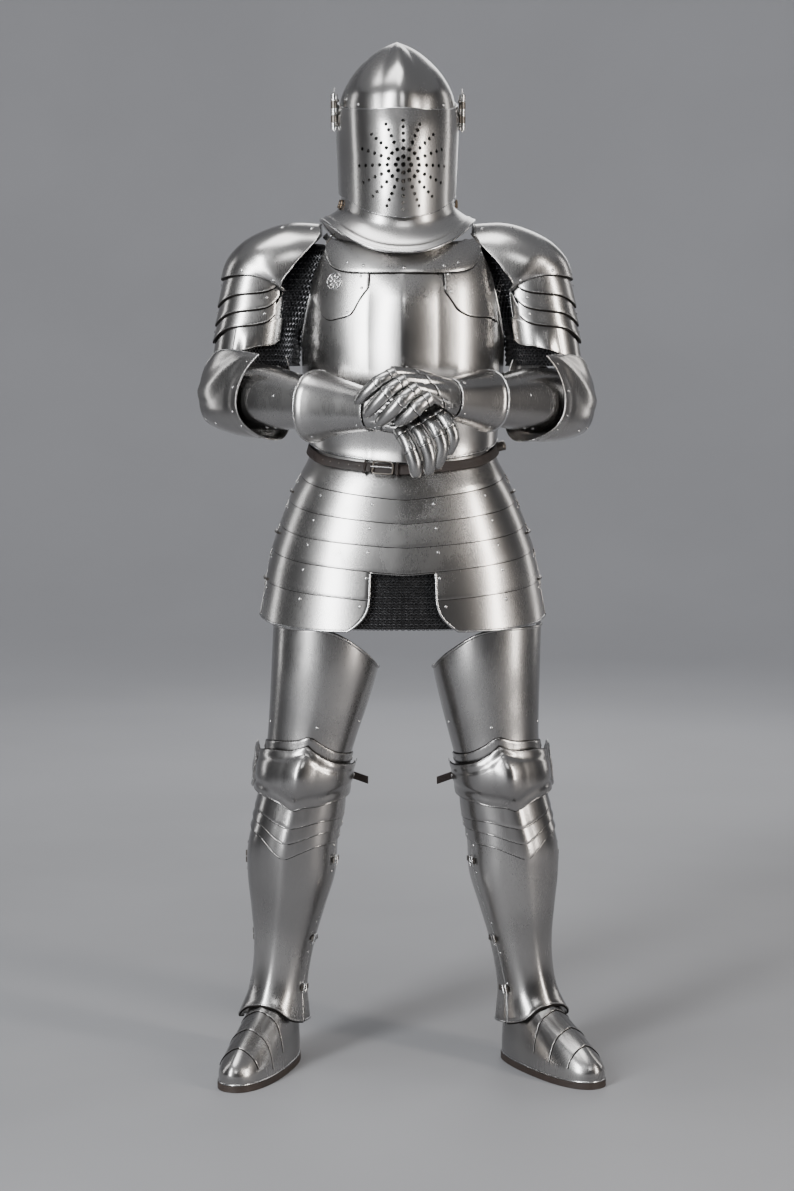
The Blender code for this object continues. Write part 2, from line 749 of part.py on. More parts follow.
# lower edges of the pauldron's lames: front inner corner, front, outside, back inner corner
ARM_LINES = [
    ((-42, 1.392), (0, 1.400), (90, 1.384), (180, 1.400), (222, 1.392)),
    ((-42, 1.380), (-10, 1.364), (35, 1.359), (90, 1.340), (145, 1.359), (190, 1.364), (222, 1.380)),
    ((-42, 1.358), (-10, 1.337), (35, 1.329), (90, 1.308), (145, 1.329), (190, 1.337), (222, 1.358)),
    ((-42, 1.336), (-10, 1.311), (35, 1.303), (90, 1.279), (145, 1.303), (190, 1.311), (222, 1.336)),
]
ARM_LAP = 0.011
ARM_STAND_OFF = 0.0046


def arm_line(index, raise_by=0.0):
    return free_edge(*((angle, height + raise_by) for angle, height in ARM_LINES[index]))


def make_pauldron(side_name, side):
    patch(
        f"pauldron_{side_name}",
        SpineTube(SHOULDER, side=side, shift_x=SHOULDER_X),
        columns=12,
        rows=6,
        sides=lambda share: (-40 - 90 * share**0.7, 40 + 90 * share**0.7),
        top=at_height(0.0),
        bottom=edge((0, 0.166), (90, 0.150), (130, 0.130)),
        out=(0.0, 0.0),
    )


def make_arm_lames(side_name, side):
    tube = LevelTube(ARM, side=side, shift_x=SHOULDER_X)
    for index in (1, 2, 3):
        patch(
            f"pauldron_lame_{index}_{side_name}",
            tube,
            columns=12,
            rows=1,
            sides=steady(-LAME_REACH[index - 1], 180 + LAME_REACH[index - 1]),
            top=arm_line(index - 1, ARM_LAP),
            bottom=arm_line(index),
            out=(0.0, ARM_STAND_OFF),
        )


def make_upper_cannon(side_name, side):
    patch(
        f"upper_cannon_{side_name}",
        LevelTube(ARM, side=side, shift_x=SHOULDER_X),
        columns=12,
        rows=2,
        sides=steady(-CANNON_REACH, 180 + CANNON_REACH),
        top=arm_line(3, ARM_LAP),
        bottom=free_edge((-42, 1.284), (0, 1.276), (90, 1.268), (180, 1.276), (222, 1.284)),
        out=(0.0, 0.0),
    )


def make_mail_sleeve(side_name, side):
    patch(
        f"mail_sleeve_{side_name}",
        LevelTube(MAIL_SLEEVE, side=side),
        columns=12,
        rows=5,
        sides=steady(-180, 180),
        top=at_height(MAIL_SLEEVE[0].height),
        bottom=at_height(MAIL_SLEEVE[-1].height),
        look=mail_look,
        wall=MAIL,
    )


def forearm_ends(side_name, side):
    elbow = Vector((SHOULDER_X + side * ELBOW_OUT, ELBOW_Y, ELBOW_HEIGHT[side_name]))
    return elbow, WRIST[side_name]


def make_elbow_and_forearm(side_name, side):
    elbow, wrist = forearm_ends(side_name, side)
    length = (wrist - elbow).length
    patch(
        f"couter_{side_name}",
        LimbTube(COUTER, elbow, wrist, 0.0),
        columns=14,
        rows=5,
        sides=steady(44, -218),
        top=free_edge(*COUTER_RIM),
        bottom=at_height(COUTER[-1].at),
    )
    patch(
        f"lower_cannon_{side_name}",
        LimbTube(FOREARM, elbow, wrist, 0.0),
        columns=12,
        rows=3,
        sides=steady(0, 360),
        top=at_height(FOREARM[0].at),
        bottom=at_height(FOREARM[-1].at),
    )
    patch(
        f"gauntlet_cuff_{side_name}",
        LimbTube(CUFF, elbow, wrist, length),
        columns=12,
        rows=3,
        sides=steady(0, 360),
        top=at_height(-CUFF_LENGTH[side_name]),
        bottom=at_height(0.0),
    )


# Each finger, from the little finger to the thumb: its knuckle, first joint, second joint and tip.
Finger = namedtuple("Finger", "knuckle first second tip")
RIGHT_HAND = [
    Finger((-0.007, -0.283, 1.141), (0.009, -0.300, 1.113), (0.019, -0.302, 1.087), (0.021, -0.295, 1.066)),
    Finger((0.014, -0.288, 1.153), (0.032, -0.306, 1.125), (0.043, -0.306, 1.096), (0.042, -0.298, 1.071)),
    Finger((0.033, -0.290, 1.164), (0.053, -0.307, 1.139), (0.063, -0.306, 1.111), (0.056, -0.298, 1.082)),
    Finger((0.050, -0.284, 1.173), (0.071, -0.298, 1.150), (0.081, -0.300, 1.128), (0.075, -0.292, 1.104)),
    Finger((0.018, -0.256, 1.192), (0.038, -0.256, 1.184), (0.052, -0.258, 1.168), (0.058, -0.262, 1.150)),
]
LEFT_HAND = [
    Finger((0.043, -0.318, 1.191), (0.024, -0.328, 1.178), (0.007, -0.324, 1.163), (-0.009, -0.312, 1.152)),
    Finger((0.023, -0.318, 1.206), (0.001, -0.330, 1.190), (-0.020, -0.325, 1.169), (-0.038, -0.312, 1.152)),
    Finger((0.004, -0.312, 1.219), (-0.020, -0.324, 1.204), (-0.042, -0.318, 1.183), (-0.059, -0.305, 1.165)),
    Finger((-0.012, -0.298, 1.230), (-0.036, -0.308, 1.218), (-0.057, -0.303, 1.201), (-0.073, -0.293, 1.185)),
    Finger((0.030, -0.270, 1.224), (0.006, -0.268, 1.226), (-0.012, -0.268, 1.218), (-0.028, -0.270, 1.206)),
]
HANDS = {"right": RIGHT_HAND, "left": LEFT_HAND}
JOINT_RADIUS = (0.0094, 0.0100, 0.0096, 0.0058)
FINGER_ARC = 76.0
HAND_ARC = (-62, 160)
HAND_GAP = 0.004
PALM = {"right": Vector((0.020, -0.262, 1.130)), "left": Vector((0.000, -0.270, 1.175))}


def finger_frame(fingers, number, row, palm):
    """One joint of a finger: its centre, the direction out of the hand and the direction across it."""
    joints = [Vector(place) for place in fingers[number]]
    along = (joints[min(row + 1, 3)] - joints[max(row - 1, 0)]).normalized()
    lower, upper = max(number - 1, 0), min(number + 1, len(fingers) - 2)
    across = Vector(fingers[max(upper, lower + 1)][row]) - Vector(fingers[lower][row])
    across = (across - along * across.dot(along)).normalized()
    outward = across.cross(along)
    if outward.dot(joints[row] - palm) < 0:
        outward.negate()
    return joints[row], outward, across


def finger_line(fingers, number, step, start, palm):
    """Points from the wrist along one side, or the top, of a finger."""
    line = [start]
    for row, radius in enumerate(JOINT_RADIUS):
        centre, outward, across = finger_frame(fingers, number, row, palm)
        bend = math.radians(FINGER_ARC * step)
        line.append(centre + (outward * math.cos(bend) + across * math.sin(bend)) * radius)
    middle = (line[0] + line[1]) / 2
    line.insert(1, middle + (middle - palm).normalized() * 0.004)
    return line


def make_gauntlet_hand(side_name, side):
    """Back of the hand and five arched fingers, one sheet that is slit between the fingers."""
    elbow, wrist = forearm_ends(side_name, side)
    cuff = LimbTube(CUFF, elbow, wrist, (wrist - elbow).length)
    fingers, palm = HANDS[side_name], PALM[side_name]
    steps = (-1, -0.36, 0.36, 1)
    last_column = len(fingers) * len(steps) - 1
    sheet = bmesh.new()
    lines = []
    for number in range(len(fingers)):
        for step in steps:
            share = len(lines) / last_column
            start = cuff.frame(HAND_ARC[0] + (HAND_ARC[1] - HAND_ARC[0]) * share, HAND_GAP)[1]
            places = finger_line(fingers, number, step, start, palm)
            lines.append([sheet.verts.new(place - Vector((0, 0, NECK_HEIGHT))) for place in places])
    for index, (here, there) in enumerate(zip(lines, lines[1:])):
        joined_rows = len(here) - 1
        if index % len(steps) == len(steps) - 1:
            joined_rows = 1 if index == last_column - len(steps) else 2
        for row in range(joined_rows):
            sheet.faces.new((here[row], there[row], there[row + 1], here[row + 1]))
    sheet.normal_update()
    centre = palm - Vector((0, 0, NECK_HEIGHT))
    if sum(face.normal.dot(face.calc_center_median() - centre) for face in sheet.faces) < 0:
        bmesh.ops.reverse_faces(sheet, faces=sheet.faces)
    add_wall(add_object(f"gauntlet_hand_{side_name}", sheet, steel), PLATE)


# ---------------------------------------------------------------- legs

COP_STAND_OFF = 0.0018
COVER = PLATE + 0.0017
# edges round the knee: each is lower on the inner side of the leg, and pointed at its front
upper_lame_top = free_edge(
    (-96, 0.560), (-44, 0.5685), (-17, 0.5825), (0, 0.600), (14, 0.592), (50, 0.588), (96, 0.580)
)
cop_top = free_edge(
    (-100, 0.541), (-68, 0.5455), (-35, 0.5545), (-14, 0.5675), (0, 0.5835),
    (12, 0.5755), (50, 0.5735), (100, 0.56)
)
cop_bottom = free_edge(
    (-100, 0.490), (-52, 0.486), (-27, 0.480), (-9, 0.478), (0, 0.4725),
    (16, 0.486), (40, 0.496), (100, 0.504)
)
knee_point = free_edge(
    (-96, 0.412), (-70, 0.4075), (-35, 0.4035), (0, 0.3835), (33, 0.418), (52, 0.425), (96, 0.438)
)


def swayed(side):
    """The leg's sections, with the hips swayed towards the wearer's left above the knee."""
    knee, hip = 0.570, 0.790
    shares = [max(0.0, (row.height - knee) / (hip - knee)) for row in LEG]
    return [row._replace(x=row.x + side * HIP_SWAY * share) for row, share in zip(LEG, shares)]


def make_thigh(side_name, leg):
    patch(
        f"cuisse_{side_name}",
        leg,
        columns=14,
        rows=4,
        sides=steady(-112, 112),
        top=free_edge((-112, 0.712), (-75, 0.718), (-40, 0.748), (0, 0.786), (30, 0.790), (112, 0.790)),
        bottom=free_edge((-112, 0.545), (-40, 0.552), (0, 0.570), (112, 0.562)),
    )


def make_knee(side_name, leg, knee):
    """The knee cop between its upper and lower lames, and the strap that runs behind it."""
    patch(
        f"poleyn_upper_lame_{side_name}",
        leg,
        columns=12,
        rows=1,
        sides=steady(-96, 96),
        top=upper_lame_top,
        bottom=free_edge((-96, 0.530), (-40, 0.540), (0, 0.560), (96, 0.548)),
        out=(COVER, COVER),
    )
    patch(
        f"poleyn_{side_name}",
        knee,
        columns=12,
        rows=5,
        sides=steady(-100, 100),
        top=cop_top,
        bottom=cop_bottom,
        out=(COP_STAND_OFF, COP_STAND_OFF),
    )
    patch(
        f"poleyn_lower_lame_{side_name}",
        leg,
        columns=12,
        rows=2,
        sides=steady(-96, 96),
        top=edge((0, 0.496), (96, 0.512)),
        bottom=knee_point,
        out=(COVER, COVER),
    )
    patch(
        f"knee_strap_{side_name}",
        leg,
        columns=8,
        rows=1,
        sides=steady(104, 256),
        top=at_height(0.532),
        bottom=at_height(0.510),
        look=leather,
        wall=LEATHER,
    )


def make_greave(side_name, leg):
    patch(
        f"greave_front_{side_name}",
        leg,
        columns=10,
        rows=6,
        sides=steady(-84, 84),
        top=at_height(0.456),
        bottom=edge((0, 0.120), (30, 0.112), (60, 0.092), (84, 0.082)),
    )
    patch(
        f"greave_back_{side_name}",
        leg,
        columns=10,
        rows=6,
        sides=steady(86, 274),
        top=back_edge((0, 0.418), (90, 0.446)),
        bottom=back_edge((0, 0.074), (90, 0.081)),
    )


SOLE_TOP = 0.0110


def make_sabaton(side_name, side):
    foot = LevelTube(FOOT, side=side, full_turn=FOOT_TURN[side_name])
    patch(
        f"sabaton_{side_name}",
        foot,
        columns=18,
        rows=4,
        sides=steady(-180, 180),
        top=at_height(0.118),
        bottom=at_height(SOLE_TOP + SEAM),
    )
    sole = bmesh.new()
    bmesh.ops.create_circle(sole, cap_ends=True, segments=24, radius=1.0)
    for vert in sole.verts:
        angle = math.degrees(math.atan2(vert.co.y, vert.co.x))
        edge_point = foot.point(angle, FOOT[0].height, 0.003)
        vert.co = (edge_point.x, edge_point.y, -NECK_HEIGHT)
    grown = bmesh.ops.extrude_face_region(sole, geom=list(sole.faces))
    moved = [item for item in grown["geom"] if isinstance(item, bmesh.types.BMVert)]
    bmesh.ops.translate(sole, verts=moved, vec=(0, 0, SOLE_TOP))
    bmesh.ops.recalc_face_normals(sole, faces=sole.faces)
    add_object(f"sole_{side_name}", sole, leather)


# ---------------------------------------------------------------- the suit


def make_suit():
    make_skull()
    make_visor()
    make_collar()
    make_collar_buckle()
    make_neck_plate()
    make_breastplate()
    make_backplate()
    make_belt()
    make_belt_buckle()
    for index in range(1, 6):
        make_fauld_hoop(index)
    make_culet()
    make_mail_skirt()
    for side_name, side in SIDES.items():
        make_hem_lame(side_name, side)
        make_visor_hinge(f"visor_hinge_{side_name}", side)
        make_chest_plate(f"chest_plate_{side_name}", side)
        make_pauldron(side_name, side)
        make_arm_lames(side_name, side)
        make_upper_cannon(side_name, side)
        make_mail_sleeve(side_name, side)
        make_elbow_and_forearm(side_name, side)
        make_gauntlet_hand(side_name, side)
        leg = LevelTube(swayed(side), side=side, full_turn=FOOT_TURN[side_name])
        make_thigh(side_name, leg)
        make_knee(side_name, leg, LevelTube(KNEE, side=side, full_turn=FOOT_TURN[side_name]))
        make_greave(side_name, leg)
        make_sabaton(side_name, side)


clear_scene()
make_suit()
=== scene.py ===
"""A worn suit of plate armour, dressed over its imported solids.

Heights in the tables are metres above the floor; the frame's origin is at the base of the neck, so every
point is lowered by NECK_HEIGHT. The wearer faces -Y, and their left is +X.
"""

import json
import math
from collections import namedtuple

import bmesh
import bpy
import numpy as np
from mathutils import Matrix, Vector

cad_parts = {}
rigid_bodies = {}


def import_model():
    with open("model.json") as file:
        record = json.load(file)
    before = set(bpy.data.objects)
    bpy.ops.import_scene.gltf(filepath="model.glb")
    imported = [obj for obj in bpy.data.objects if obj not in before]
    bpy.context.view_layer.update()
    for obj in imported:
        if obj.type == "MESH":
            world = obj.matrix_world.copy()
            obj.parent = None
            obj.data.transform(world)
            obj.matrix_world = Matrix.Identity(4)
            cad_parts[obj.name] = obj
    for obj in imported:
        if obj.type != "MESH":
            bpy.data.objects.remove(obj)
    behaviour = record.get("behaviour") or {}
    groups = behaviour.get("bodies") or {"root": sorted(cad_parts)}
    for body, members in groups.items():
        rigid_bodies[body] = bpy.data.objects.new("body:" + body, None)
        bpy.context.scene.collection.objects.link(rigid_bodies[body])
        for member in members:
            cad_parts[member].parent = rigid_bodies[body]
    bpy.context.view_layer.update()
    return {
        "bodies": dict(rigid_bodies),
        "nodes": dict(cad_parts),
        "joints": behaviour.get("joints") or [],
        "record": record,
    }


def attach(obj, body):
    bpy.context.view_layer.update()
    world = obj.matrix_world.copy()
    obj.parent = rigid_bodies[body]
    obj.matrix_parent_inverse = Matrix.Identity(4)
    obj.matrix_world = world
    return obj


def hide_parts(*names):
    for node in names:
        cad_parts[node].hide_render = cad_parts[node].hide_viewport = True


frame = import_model()

NECK_HEIGHT = 1.480
PLATE = 0.0015
MAIL = 0.0022
HEAD_X = -0.010
HEAD_TURN = 4.0
SHOULDER_X = -0.010
VISOR_PIVOT = Vector((HEAD_X, 0.010, 1.668 - NECK_HEIGHT))
CAMERA_HEIGHT = 1.30
CAMERA_DISTANCE = 4.4
SIDES = {"right": -1, "left": 1}
FOOT_TURN = {"right": 22.0, "left": 35.0}
HIP_SWAY = 0.008
ELBOW_HEIGHT = {"right": 1.188, "left": 1.174}
ELBOW_OUT = 0.290
ELBOW_Y = -0.015
WRIST = {"right": Vector((-0.048, -0.240, 1.168)), "left": Vector((0.073, -0.250, 1.188))}

# ---------------------------------------------------------------- helpers


def mesh_of(name, shape):
    """The mesh of a bmesh, which is freed."""
    mesh = bpy.data.meshes.new(name)
    shape.to_mesh(mesh)
    shape.free()
    return mesh


def standing(place, way):
    """The matrix that stands a small part on a place, with its Z along a direction."""
    return Matrix.Translation(place) @ Vector(way).to_track_quat("Z", "Y").to_matrix().to_4x4()


def circle(count):
    """Turns, in radians, evenly spaced round a circle."""
    return np.linspace(0, math.tau, count, endpoint=False)


# ---------------------------------------------------------------- camera, light and floor


def aim(thing, target):
    thing.rotation_euler = (Vector(target) - thing.location).to_track_quat("-Z", "Y").to_euler()


def make_camera():
    lens = bpy.data.cameras.new("camera")
    lens.sensor_fit = "VERTICAL"
    lens.sensor_height = 36
    lens.lens = 76.35
    camera = bpy.data.objects.new("camera", lens)
    camera.location = (HEAD_X, -CAMERA_DISTANCE, CAMERA_HEIGHT - NECK_HEIGHT)
    camera.rotation_euler = (math.radians(84), 0, 0)
    bpy.context.scene.collection.objects.link(camera)
    bpy.context.scene.camera = camera


Panel = namedtuple("Panel", "name at target colour wide tall power")
PANELS = [
    Panel("key_panel", (-2.2, -3.0, 0.55), (0, 0, -0.50), (0.97, 0.985, 1.0), 0.8, 3.4, 255),
    Panel("front_panel", (0.6, -4.4, 2.20), (0, 0, -0.35), (1.0, 1.0, 1.0), 1.0, 0.8, 24),
    Panel("right_panel", (2.8, -2.0, -0.05), (0, 0, -0.5), (1.0, 0.93, 0.86), 0.4, 2.7, 110),
    Panel("left_edge_panel", (-2.9, 0.9, 0.20), (0, 0, -0.4), (1.0, 1.0, 1.0), 0.3, 2.6, 14),
    Panel("right_edge_panel", (2.6, 1.6, 0.20), (0, 0, -0.4), (1.0, 0.96, 0.92), 0.3, 2.6, 14),
    Panel("top_panel", (-0.5, -0.6, 2.70), (0, 0, 0), (1.0, 1.0, 1.0), 1.8, 1.4, 70),
    Panel("back_panel", (0.6, 4.0, 1.40), (0, 0, -0.3), (1.0, 1.0, 1.0), 2.0, 2.4, 50),
]


def make_lights():
    for panel in PANELS:
        light = bpy.data.lights.new(panel.name, "AREA")
        light.shape = "RECTANGLE"
        light.size, light.size_y = panel.wide, panel.tall
        light.energy, light.color = panel.power, panel.colour
        lamp = bpy.data.objects.new(panel.name, light)
        lamp.location = panel.at
        aim(lamp, panel.target)
        bpy.context.scene.collection.objects.link(lamp)
    world = bpy.data.worlds.new("studio")
    world.use_nodes = True
    world.node_tree.nodes["Background"].inputs["Color"].default_value = (0.26, 0.265, 0.28, 1)
    bpy.context.scene.world = world


# ---------------------------------------------------------------- finishes


def arithmetic(operation, reflected=False):
    """An operator of Value that adds its Math node. The reflected form has the other value first."""

    def joined(value, other):
        terms = (other, value) if reflected else (value, other)
        return value.finish.node("ShaderNodeMath", {"operation": operation}, dict(enumerate(terms))).out()

    return joined


class Value:
    """A shader value that takes part in plain arithmetic."""

    __add__, __radd__ = arithmetic("ADD"), arithmetic("ADD", reflected=True)
    __sub__, __rsub__ = arithmetic("SUBTRACT"), arithmetic("SUBTRACT", reflected=True)
    __mul__, __rmul__ = arithmetic("MULTIPLY"), arithmetic("MULTIPLY", reflected=True)

    def __init__(self, finish, socket):
        self.finish = finish
        self.socket = socket

    def span(self, low, high):
        """0 at the low value, 1 at the high one, smooth between."""
        ranged = {"interpolation_type": "SMOOTHSTEP"}
        values = {"Value": self, "From Min": low, "From Max": high}
        return self.finish.node("ShaderNodeMapRange", ranged, values).out()


class Made:
    """A node whose outputs are read as values."""

    def __init__(self, finish, node):
        self.finish = finish
        self.node = node

    def out(self, name=0):
        return Value(self.finish, self.node.outputs[name])


class Finish:
    """A material that is built node by node."""

    def __init__(self, name, **constants):
        self.material = bpy.data.materials.new(name)
        self.material.use_nodes = True
        self.tree = self.material.node_tree
        self.shader = self.tree.nodes["Principled BSDF"]
        for key, value in constants.items():
            self.shader.inputs[key.replace("_", " ")].default_value = value

    def node(self, kind, settings=None, values=None):
        made = self.tree.nodes.new(kind)
        for key, value in (settings or {}).items():
            setattr(made, key, value)
        for key, value in (values or {}).items():
            if isinstance(value, Value):
                self.tree.links.new(value.socket, made.inputs[key])
            else:
                made.inputs[key].default_value = value
        return Made(self, made)

    def place(self, scale=(1, 1, 1), turn=(0, 0, 0)):
        """Position on the object, stretched and turned."""
        where = self.node("ShaderNodeTexCoord").out("Object")
        values = {"Vector": where, "Scale": scale, "Rotation": [math.radians(a) for a in turn]}
        return self.node("ShaderNodeMapping", None, values).out()

    def noise(self, scale, detail=2.0, at=None, roughness=0.5):
        at = at or self.place()
        values = {"Vector": at, "Scale": scale, "Detail": detail, "Roughness": roughness}
        return self.node("ShaderNodeTexNoise", None, values).out("Fac")

    def cells(self, scale, feature="F1"):
        values = {"Vector": self.place(), "Scale": scale}
        return self.node("ShaderNodeTexVoronoi", {"feature": feature}, values).out("Distance")

    def mix(self, share, low, high):
        """A colour between two, by a share. The Mix node's colour sockets go by number, as their names repeat."""
        values = {0: share, 6: (*low, 1), 7: (*high, 1)}
        return self.node("ShaderNodeMix", {"data_type": "RGBA"}, values).out(2)

    def bump(self, *layers):
        """Relief from (height value, metres) layers, one over another."""
        normal = None
        for height, depth in layers:
            values = {"Height": height, "Distance": depth, "Strength": 1.0}
            if normal:
                values["Normal"] = normal
            normal = self.node("ShaderNodeBump", None, values).out()
        return normal

    def feed(self, **links):
        for key, value in links.items():
            self.tree.links.new(value.socket, self.shader.inputs[key.replace("_", " ")])
        return self.material


def plate_steel(name, low, high, roughness):
    """Steel brushed along Z, with a soft cloudy polish, a few fine scratches and a faint unevenness."""
    steel = Finish(name, Metallic=1.0)
    clouds = steel.noise(4.0, 2.0).span(0.35, 0.68)
    brushed = steel.noise(6.0, 4.0, steel.place((150, 150, 5)), 0.6)
    handled = steel.noise(17.0, 5.0, steel.place((1, 1, 0.7), (0, 20, 0)), 0.6).span(0.50, 0.80)
    scratches = steel.noise(9.0, 3.0, steel.place((90, 9, 9), (10, 40, 25)), 0.55).span(0.70, 0.80)
    dents = steel.noise(8.0, 1.0)
    tone = clouds * 0.45 + brushed * 0.40 + (1.0 - handled) * 0.15
    return steel.feed(
        Base_Color=steel.mix(tone, low, high),
        Roughness=roughness + clouds * 0.05 + handled * 0.05 + brushed * 0.08 + scratches * 0.04,
        Normal=steel.bump((dents, 0.0022), (brushed, 0.000014)),
    )


def plain_steel(name, colour, roughness):
    """Small steel trim: worn bright, with a little dirt."""
    steel = Finish(name, Metallic=1.0)
    worn = steel.noise(90.0, 2.0).span(0.3, 0.7)
    dark = tuple(part * 0.8 for part in colour)
    return steel.feed(Base_Color=steel.mix(worn, dark, colour), Roughness=roughness + worn * 0.06)


def mail_iron():
    """The dark cloth-like ground behind the rings."""
    iron = Finish("mail_ground", Metallic=0.6, Base_Color=(0.010, 0.010, 0.011, 1))
    edge = iron.cells(190.0, "DISTANCE_TO_EDGE").span(0.0, 0.25)
    return iron.feed(Roughness=0.75 - edge * 0.2, Normal=iron.bump((edge, 0.0012)))


def dark_leather(name, colour):
    hide = Finish(name)
    pores = hide.cells(650.0)
    worn = hide.noise(38.0, 6.0, None, 0.7).span(0.42, 0.78)
    crease = hide.noise(90.0, 3.0, hide.place((1, 1, 4)), 0.6)
    light = tuple(min(1, part * 1.7 + 0.004) for part in colour)
    return hide.feed(
        Base_Color=hide.mix(worn, colour, light),
        Roughness=0.55 + worn * 0.2,
        Normal=hide.bump((crease, 0.0008), (pores, 0.0003)),
    )


def floor_look():
    """Pale grey with faint stains, and painted light and shade: paler towards the back and up the wall, and painted
    darker towards the front end and the sides of the studio.
    """
    grey = Finish("studio_floor", Roughness=0.75)
    stain = grey.noise(0.9, 4.0).span(0.3, 0.7)
    parts = grey.node("ShaderNodeSeparateXYZ", None, {"Vector": grey.place()})
    across, along, high = parts.out("X"), parts.out("Y"), parts.out("Z").span(0.1, 2.5)
    # painted shade: darker towards the front end of the studio and its sides, standing for the shade there
    painted_shade_front = (1.0 - along.span(-3.2, -0.9)) * (0.30 + high * 0.10)
    painted_shade_sides = (across * across).span(3.0, 22.0) * 0.30
    # painted light: paler towards the back and up the wall, making up for the lamps' light falling off, over faint
    # random stains
    level = 0.32 + stain * 0.05 + along.span(0.0, 5.2) * 0.50 + high * 0.10
    level = level * (1.0 - painted_shade_front) * (1.0 - painted_shade_sides)
    return grey.feed(Base_Color=grey.mix(level, (0, 0, 0), (0.640, 0.646, 0.675)))


FLOOR_RADIUS = 4.6
SWEEP_RADIUS = 4.6
WALL_HEIGHT = 8.0


def make_floor():
    """A round floor that sweeps up into a plain wall all round."""
    turns = np.radians(np.arange(0, 91, 5))
    profile = [(0.0, 0.0)]
    profile += [(FLOOR_RADIUS + SWEEP_RADIUS * math.sin(a), SWEEP_RADIUS * (1 - math.cos(a))) for a in turns]
    profile.append((FLOOR_RADIUS + SWEEP_RADIUS, WALL_HEIGHT))
    disc = bmesh.new()
    line = [disc.verts.new((far, 0, high)) for far, high in profile]
    edges = [disc.edges.new(pair) for pair in zip(line, line[1:])]
    around = {"axis": (0, 0, 1), "cent": (0, 0, 0), "angle": math.tau, "steps": 96}
    bmesh.ops.spin(disc, geom=line + edges, use_merge=True, **around)
    bmesh.ops.remove_doubles(disc, verts=disc.verts, dist=0.0001)
    bmesh.ops.recalc_face_normals(disc, faces=disc.faces)
    mesh = mesh_of("studio_floor", disc)
    mesh.shade_smooth()
    mesh.materials.append(floor_look())
    floor = bpy.data.objects.new("studio_floor", mesh)
    floor.location.z = -NECK_HEIGHT - 0.0005
    bpy.context.scene.collection.objects.link(floor)


STEEL = plate_steel("brushed_steel", (0.255, 0.249, 0.243), (0.53, 0.52, 0.51), 0.20)
LIMB_STEEL = plate_steel("limb_steel", (0.215, 0.21, 0.206), (0.475, 0.466, 0.458), 0.20)
HAND_STEEL = plate_steel("hand_steel", (0.205, 0.202, 0.198), (0.43, 0.425, 0.418), 0.20)
RIM_STEEL = plain_steel("rim_steel", (0.56, 0.56, 0.56), 0.22)
DARK_STEEL = plain_steel("dark_steel", (0.16, 0.145, 0.13), 0.34)
RING_STEEL = plain_steel("ring_steel", (0.115, 0.115, 0.12), 0.38)
BRONZE = plain_steel("old_bronze", (0.17, 0.125, 0.085), 0.34)
# near-black steel for thin rods laid under plate edges and along seams: painted shade where the plates overlap
JOINT_SHADE_PAINT = plain_steel("painted_joint_shade", (0.018, 0.016, 0.015), 0.55)
MAIL_GROUND = mail_iron()
BELT_LEATHER = dark_leather("belt_leather", (0.008, 0.0035, 0.0022))
SOLE_LEATHER = dark_leather("sole_leather", (0.018, 0.011, 0.008))
# a real leather glove, kept near black so that it also paints the shade between the fingers and under the hand
GLOVE_LEATHER_AND_SHADE = dark_leather("glove_leather_and_painted_shade", (0.008, 0.0075, 0.0075))
# the looks of a piece, in the order of its face numbers: plates, rims and rivets, fittings, and black rods of painted
# shade in the joints
BODY_LOOKS = (STEEL, RIM_STEEL, DARK_STEEL, JOINT_SHADE_PAINT)
LIMB_LOOKS = (LIMB_STEEL, *BODY_LOOKS[1:])
PLAIN, RIM, FITTING, PAINTED_SHADE = range(4)


# ---------------------------------------------------------------- section tables

Level = namedtuple(
    "Level",
    "height x y half front back turn rise keel egg forward",
    defaults=(0.0, 0.0, 0.0, 0.0, 0.0),
)
Spine = namedtuple("Spine", "at x y z tilt out inner front back")
Limb = namedtuple("Limb", "at front back top bottom")

# height, centre x and y, half width, depth to the front and to the back
HELMET = [
    Level(1.480, 0, 0.014, 0.0890, 0.100, 0.107, 1),
    Level(1.560, 0, 0.008, 0.0935, 0.118, 0.115, 1),
    Level(1.640, 0, 0.004, 0.0980, 0.121, 0.122, 1, 0, 0.001),
    Level(1.690, 0, 0.004, 0.0960, 0.116, 0.120, 1, 0, 0.002),
    Level(1.715, 0, 0.005, 0.0865, 0.106, 0.110, 1, 0, 0.003),
    Level(1.740, 0, 0.006, 0.0700, 0.087, 0.092, 1, 0, 0.004),
    Level(1.762, 0, 0.008, 0.0480, 0.060, 0.066, 1, 0, 0.004),
    Level(1.778, 0, 0.010, 0.0260, 0.031, 0.034, 1, 0, 0.003),
    Level(1.790, 0, 0.012, 0.0001, 0.0001, 0.0001, 1),
]
VISOR = [
    Level(1.480, 0, 0.004, 0.0975, 0.137, 0.110, 1),
    Level(1.530, 0, 0.004, 0.0988, 0.146, 0.110, 1, 0, 0.001),
    Level(1.585, 0, 0.004, 0.1010, 0.149, 0.110, 1, 0, 0.002),
    Level(1.635, 0, 0.004, 0.1030, 0.142, 0.110, 1, 0, 0.002),
    Level(1.675, 0, 0.004, 0.1025, 0.129, 0.110, 1, 0, 0.001),
    Level(1.700, 0, 0.004, 0.0985, 0.121, 0.110, 1, 0, 0.001),
]
COLLAR = [
    Level(1.492, 0, 0.008, 0.0945, 0.133, 0.122, 1, 0.036),
    Level(1.470, 0, 0.008, 0.0985, 0.137, 0.125, 1, 0.040),
    Level(1.448, 0, 0.006, 0.1120, 0.146, 0.133, 1, 0.050),
    Level(1.428, 0, 0.004, 0.1320, 0.162, 0.146, 1, 0.060),
]
